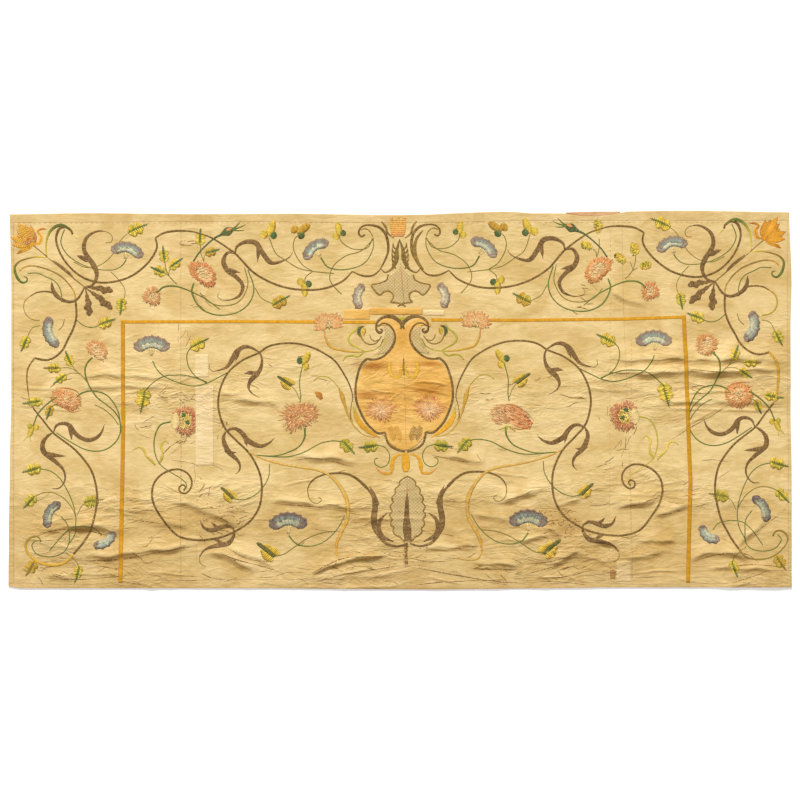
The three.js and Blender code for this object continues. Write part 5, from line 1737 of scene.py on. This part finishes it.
# Painted shadow: dark strokes along the wrinkles, where their folds are in shade.
for wide, route in WRINKLE_SHADOWS + [fine_wrinkle_shadow() for _ in range(FINE_WRINKLE_SHADOWS)]:
    widths = [0.3, 1.1 * wide, 1.4 * wide, 0.5 * wide, 1.2 * wide, 0.3]
    splits_specks_and_shadows.stroke(left, BROKEN, route, widths, SPECK_AND_SHADOW_BROWN, 0.02, 0.34)
# A small brown leaf that only the left field has.
lefts.work("leaves", THIN_SATIN, [(-212, 20), (-202, 12), (-196, 2)], [5, 16, 8], [RIB_BROWN, DARK_RIB],
           0.1, 0.2)


def braid(name, corners, wide):
    """Woven gold braid laid along its corners, mitred where it turns."""
    made = Stitching(name + "_woven", BRAID_THREAD, "gold_braid")
    turn = next(i for i in range(1, len(corners) - 1)
                if abs(heading(corners[i - 1], corners[i])[0] - heading(corners[i], corners[i + 1])[0]) > 60)
    for number, part in enumerate((corners[: turn + 1], corners[turn:])):
        part = [np.array(point, float) for point in part]
        ahead = (part[-1] - part[-2]) / np.linalg.norm(part[-1] - part[-2])
        if number == 0:
            part[-1] = part[-1] + ahead * wide / 2
        line = [part[0]]
        for a, b in zip(part[:-1], part[1:]):
            count = max(2, int(np.linalg.norm(b - a) / 40))
            line += [a + (b - a) * share for share in np.linspace(0, 1, count + 1)[1:]]
        tint = MUSTARD if number else UPRIGHT_MUSTARD
        made.stroke(left, BRAIDED, line, wide - 2 * number, tint, 0.25 - 0.2 * number, 0.04, DARK_MUSTARD)
    piece = made.finish()
    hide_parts(name)


braid("braid_left", [(-698, -456), (-691, -60), (-692, 195), (-400, 196), (-62, 194)], 10)
braid("braid_right", [(719, -456), (725, -200), (716, 30), (709, 207), (550, 202), (300, 199), (78, 200)],
      10)

# ---------------------------------------------------------------- making the pieces

# The CAD nodes of each slot, and how their sheets are made: a cloth's steps are across and up.
SHEETS = (
    ("silk_satin", cloth_sheet, (6.5, 2.4),
     ("panel_outer_left", "panel_inner_left", "panel_inner_right", "panel_outer_right")),
    ("edge_band", cloth_sheet, (6.5, 3.0), ("band_bottom", "band_top", "band_left", "band_right")),
    ("lining", cloth_sheet, (5, 3), ("lining_edge",)),
    ("orange_satin", trim_sheet, (3.2,), ("cartouche_ground", "orange_strip_left", "orange_strip_middle")),
    ("pale_silk", trim_sheet, (3.2,), ("patch_tall", "patch_small", "patch_top", "patch_hem")),
)


def hem_hole():
    """The hole in the hem's patch, with the backing showing."""
    corners = np.array([(525, -445), (537, -446), (539, -427), (531, -423), (524, -426)], float)
    return filled("hem_hole", LOOKS["backing"], corners, 2.5, ON_TRIM, 0.15)


sheets = [
    (node, slot, make(node, LOOKS[slot], *steps)) for slot, make, steps, nodes in SHEETS for node in nodes
]

for side in (lefts, rights, centre):
    for threads in (side.metal, side.stems, side.leaves, side.flowers, side.nets):
        if threads.count:
            threads.finish()
for piece in [*nets, hem_hole()]:
    settle(piece)
tacking.finish()
splits_specks_and_shadows.finish()

for node, slot, piece in sheets:
    settle(piece)
    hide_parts(node)
    low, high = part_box(node)

# ---------------------------------------------------------------- floor, light and camera

FLOOR_Z = -0.0005  # just under the cloth, in metres
floor_mesh = bpy.data.meshes.new("floor")
floor_corners = [(x, y, FLOOR_Z) for x, y in ((-4, -4), (4, -4), (4, 4), (-4, 4))]
floor_mesh.from_pydata(floor_corners, [], [(0, 1, 2, 3)])
paper = Look("pale floor", 0.9)
paper.give(paper.shader, {"Base Color": (0.85, 0.85, 0.85), "Emission Color": (1, 1, 1),
                          "Emission Strength": 0.3})
floor_mesh.materials.append(paper.material)
linked("floor", floor_mesh)

world = bpy.data.worlds.new("studio")
bpy.context.scene.world = world
world.use_nodes = True
sky = world.node_tree.nodes["Background"].inputs
sky["Color"].default_value = (1, 1, 1, 1)
sky["Strength"].default_value = 0.385


def lamp(name, at, size, power):
    """A square soft light aimed at the middle of the cloth."""
    light = bpy.data.lights.new(name, "AREA")
    light.energy, light.size = power, size
    made = linked(name, light)
    made.location = at
    made.rotation_euler = (-made.location).to_track_quat("-Z", "Y").to_euler()


lamp("key", (-2.6, 11.6, 8.6), 2.6, 2060)
lamp("fill", (0.6, -2.6, 5.4), 3.0, 24)

lens = bpy.data.cameras.new("camera")
lens.lens, lens.sensor_width = 85, 36
camera = linked("camera", lens)
camera.location = (0, 0, 4.72)
bpy.context.scene.camera = camera
bpy.context.scene.view_settings.view_transform = "Standard"
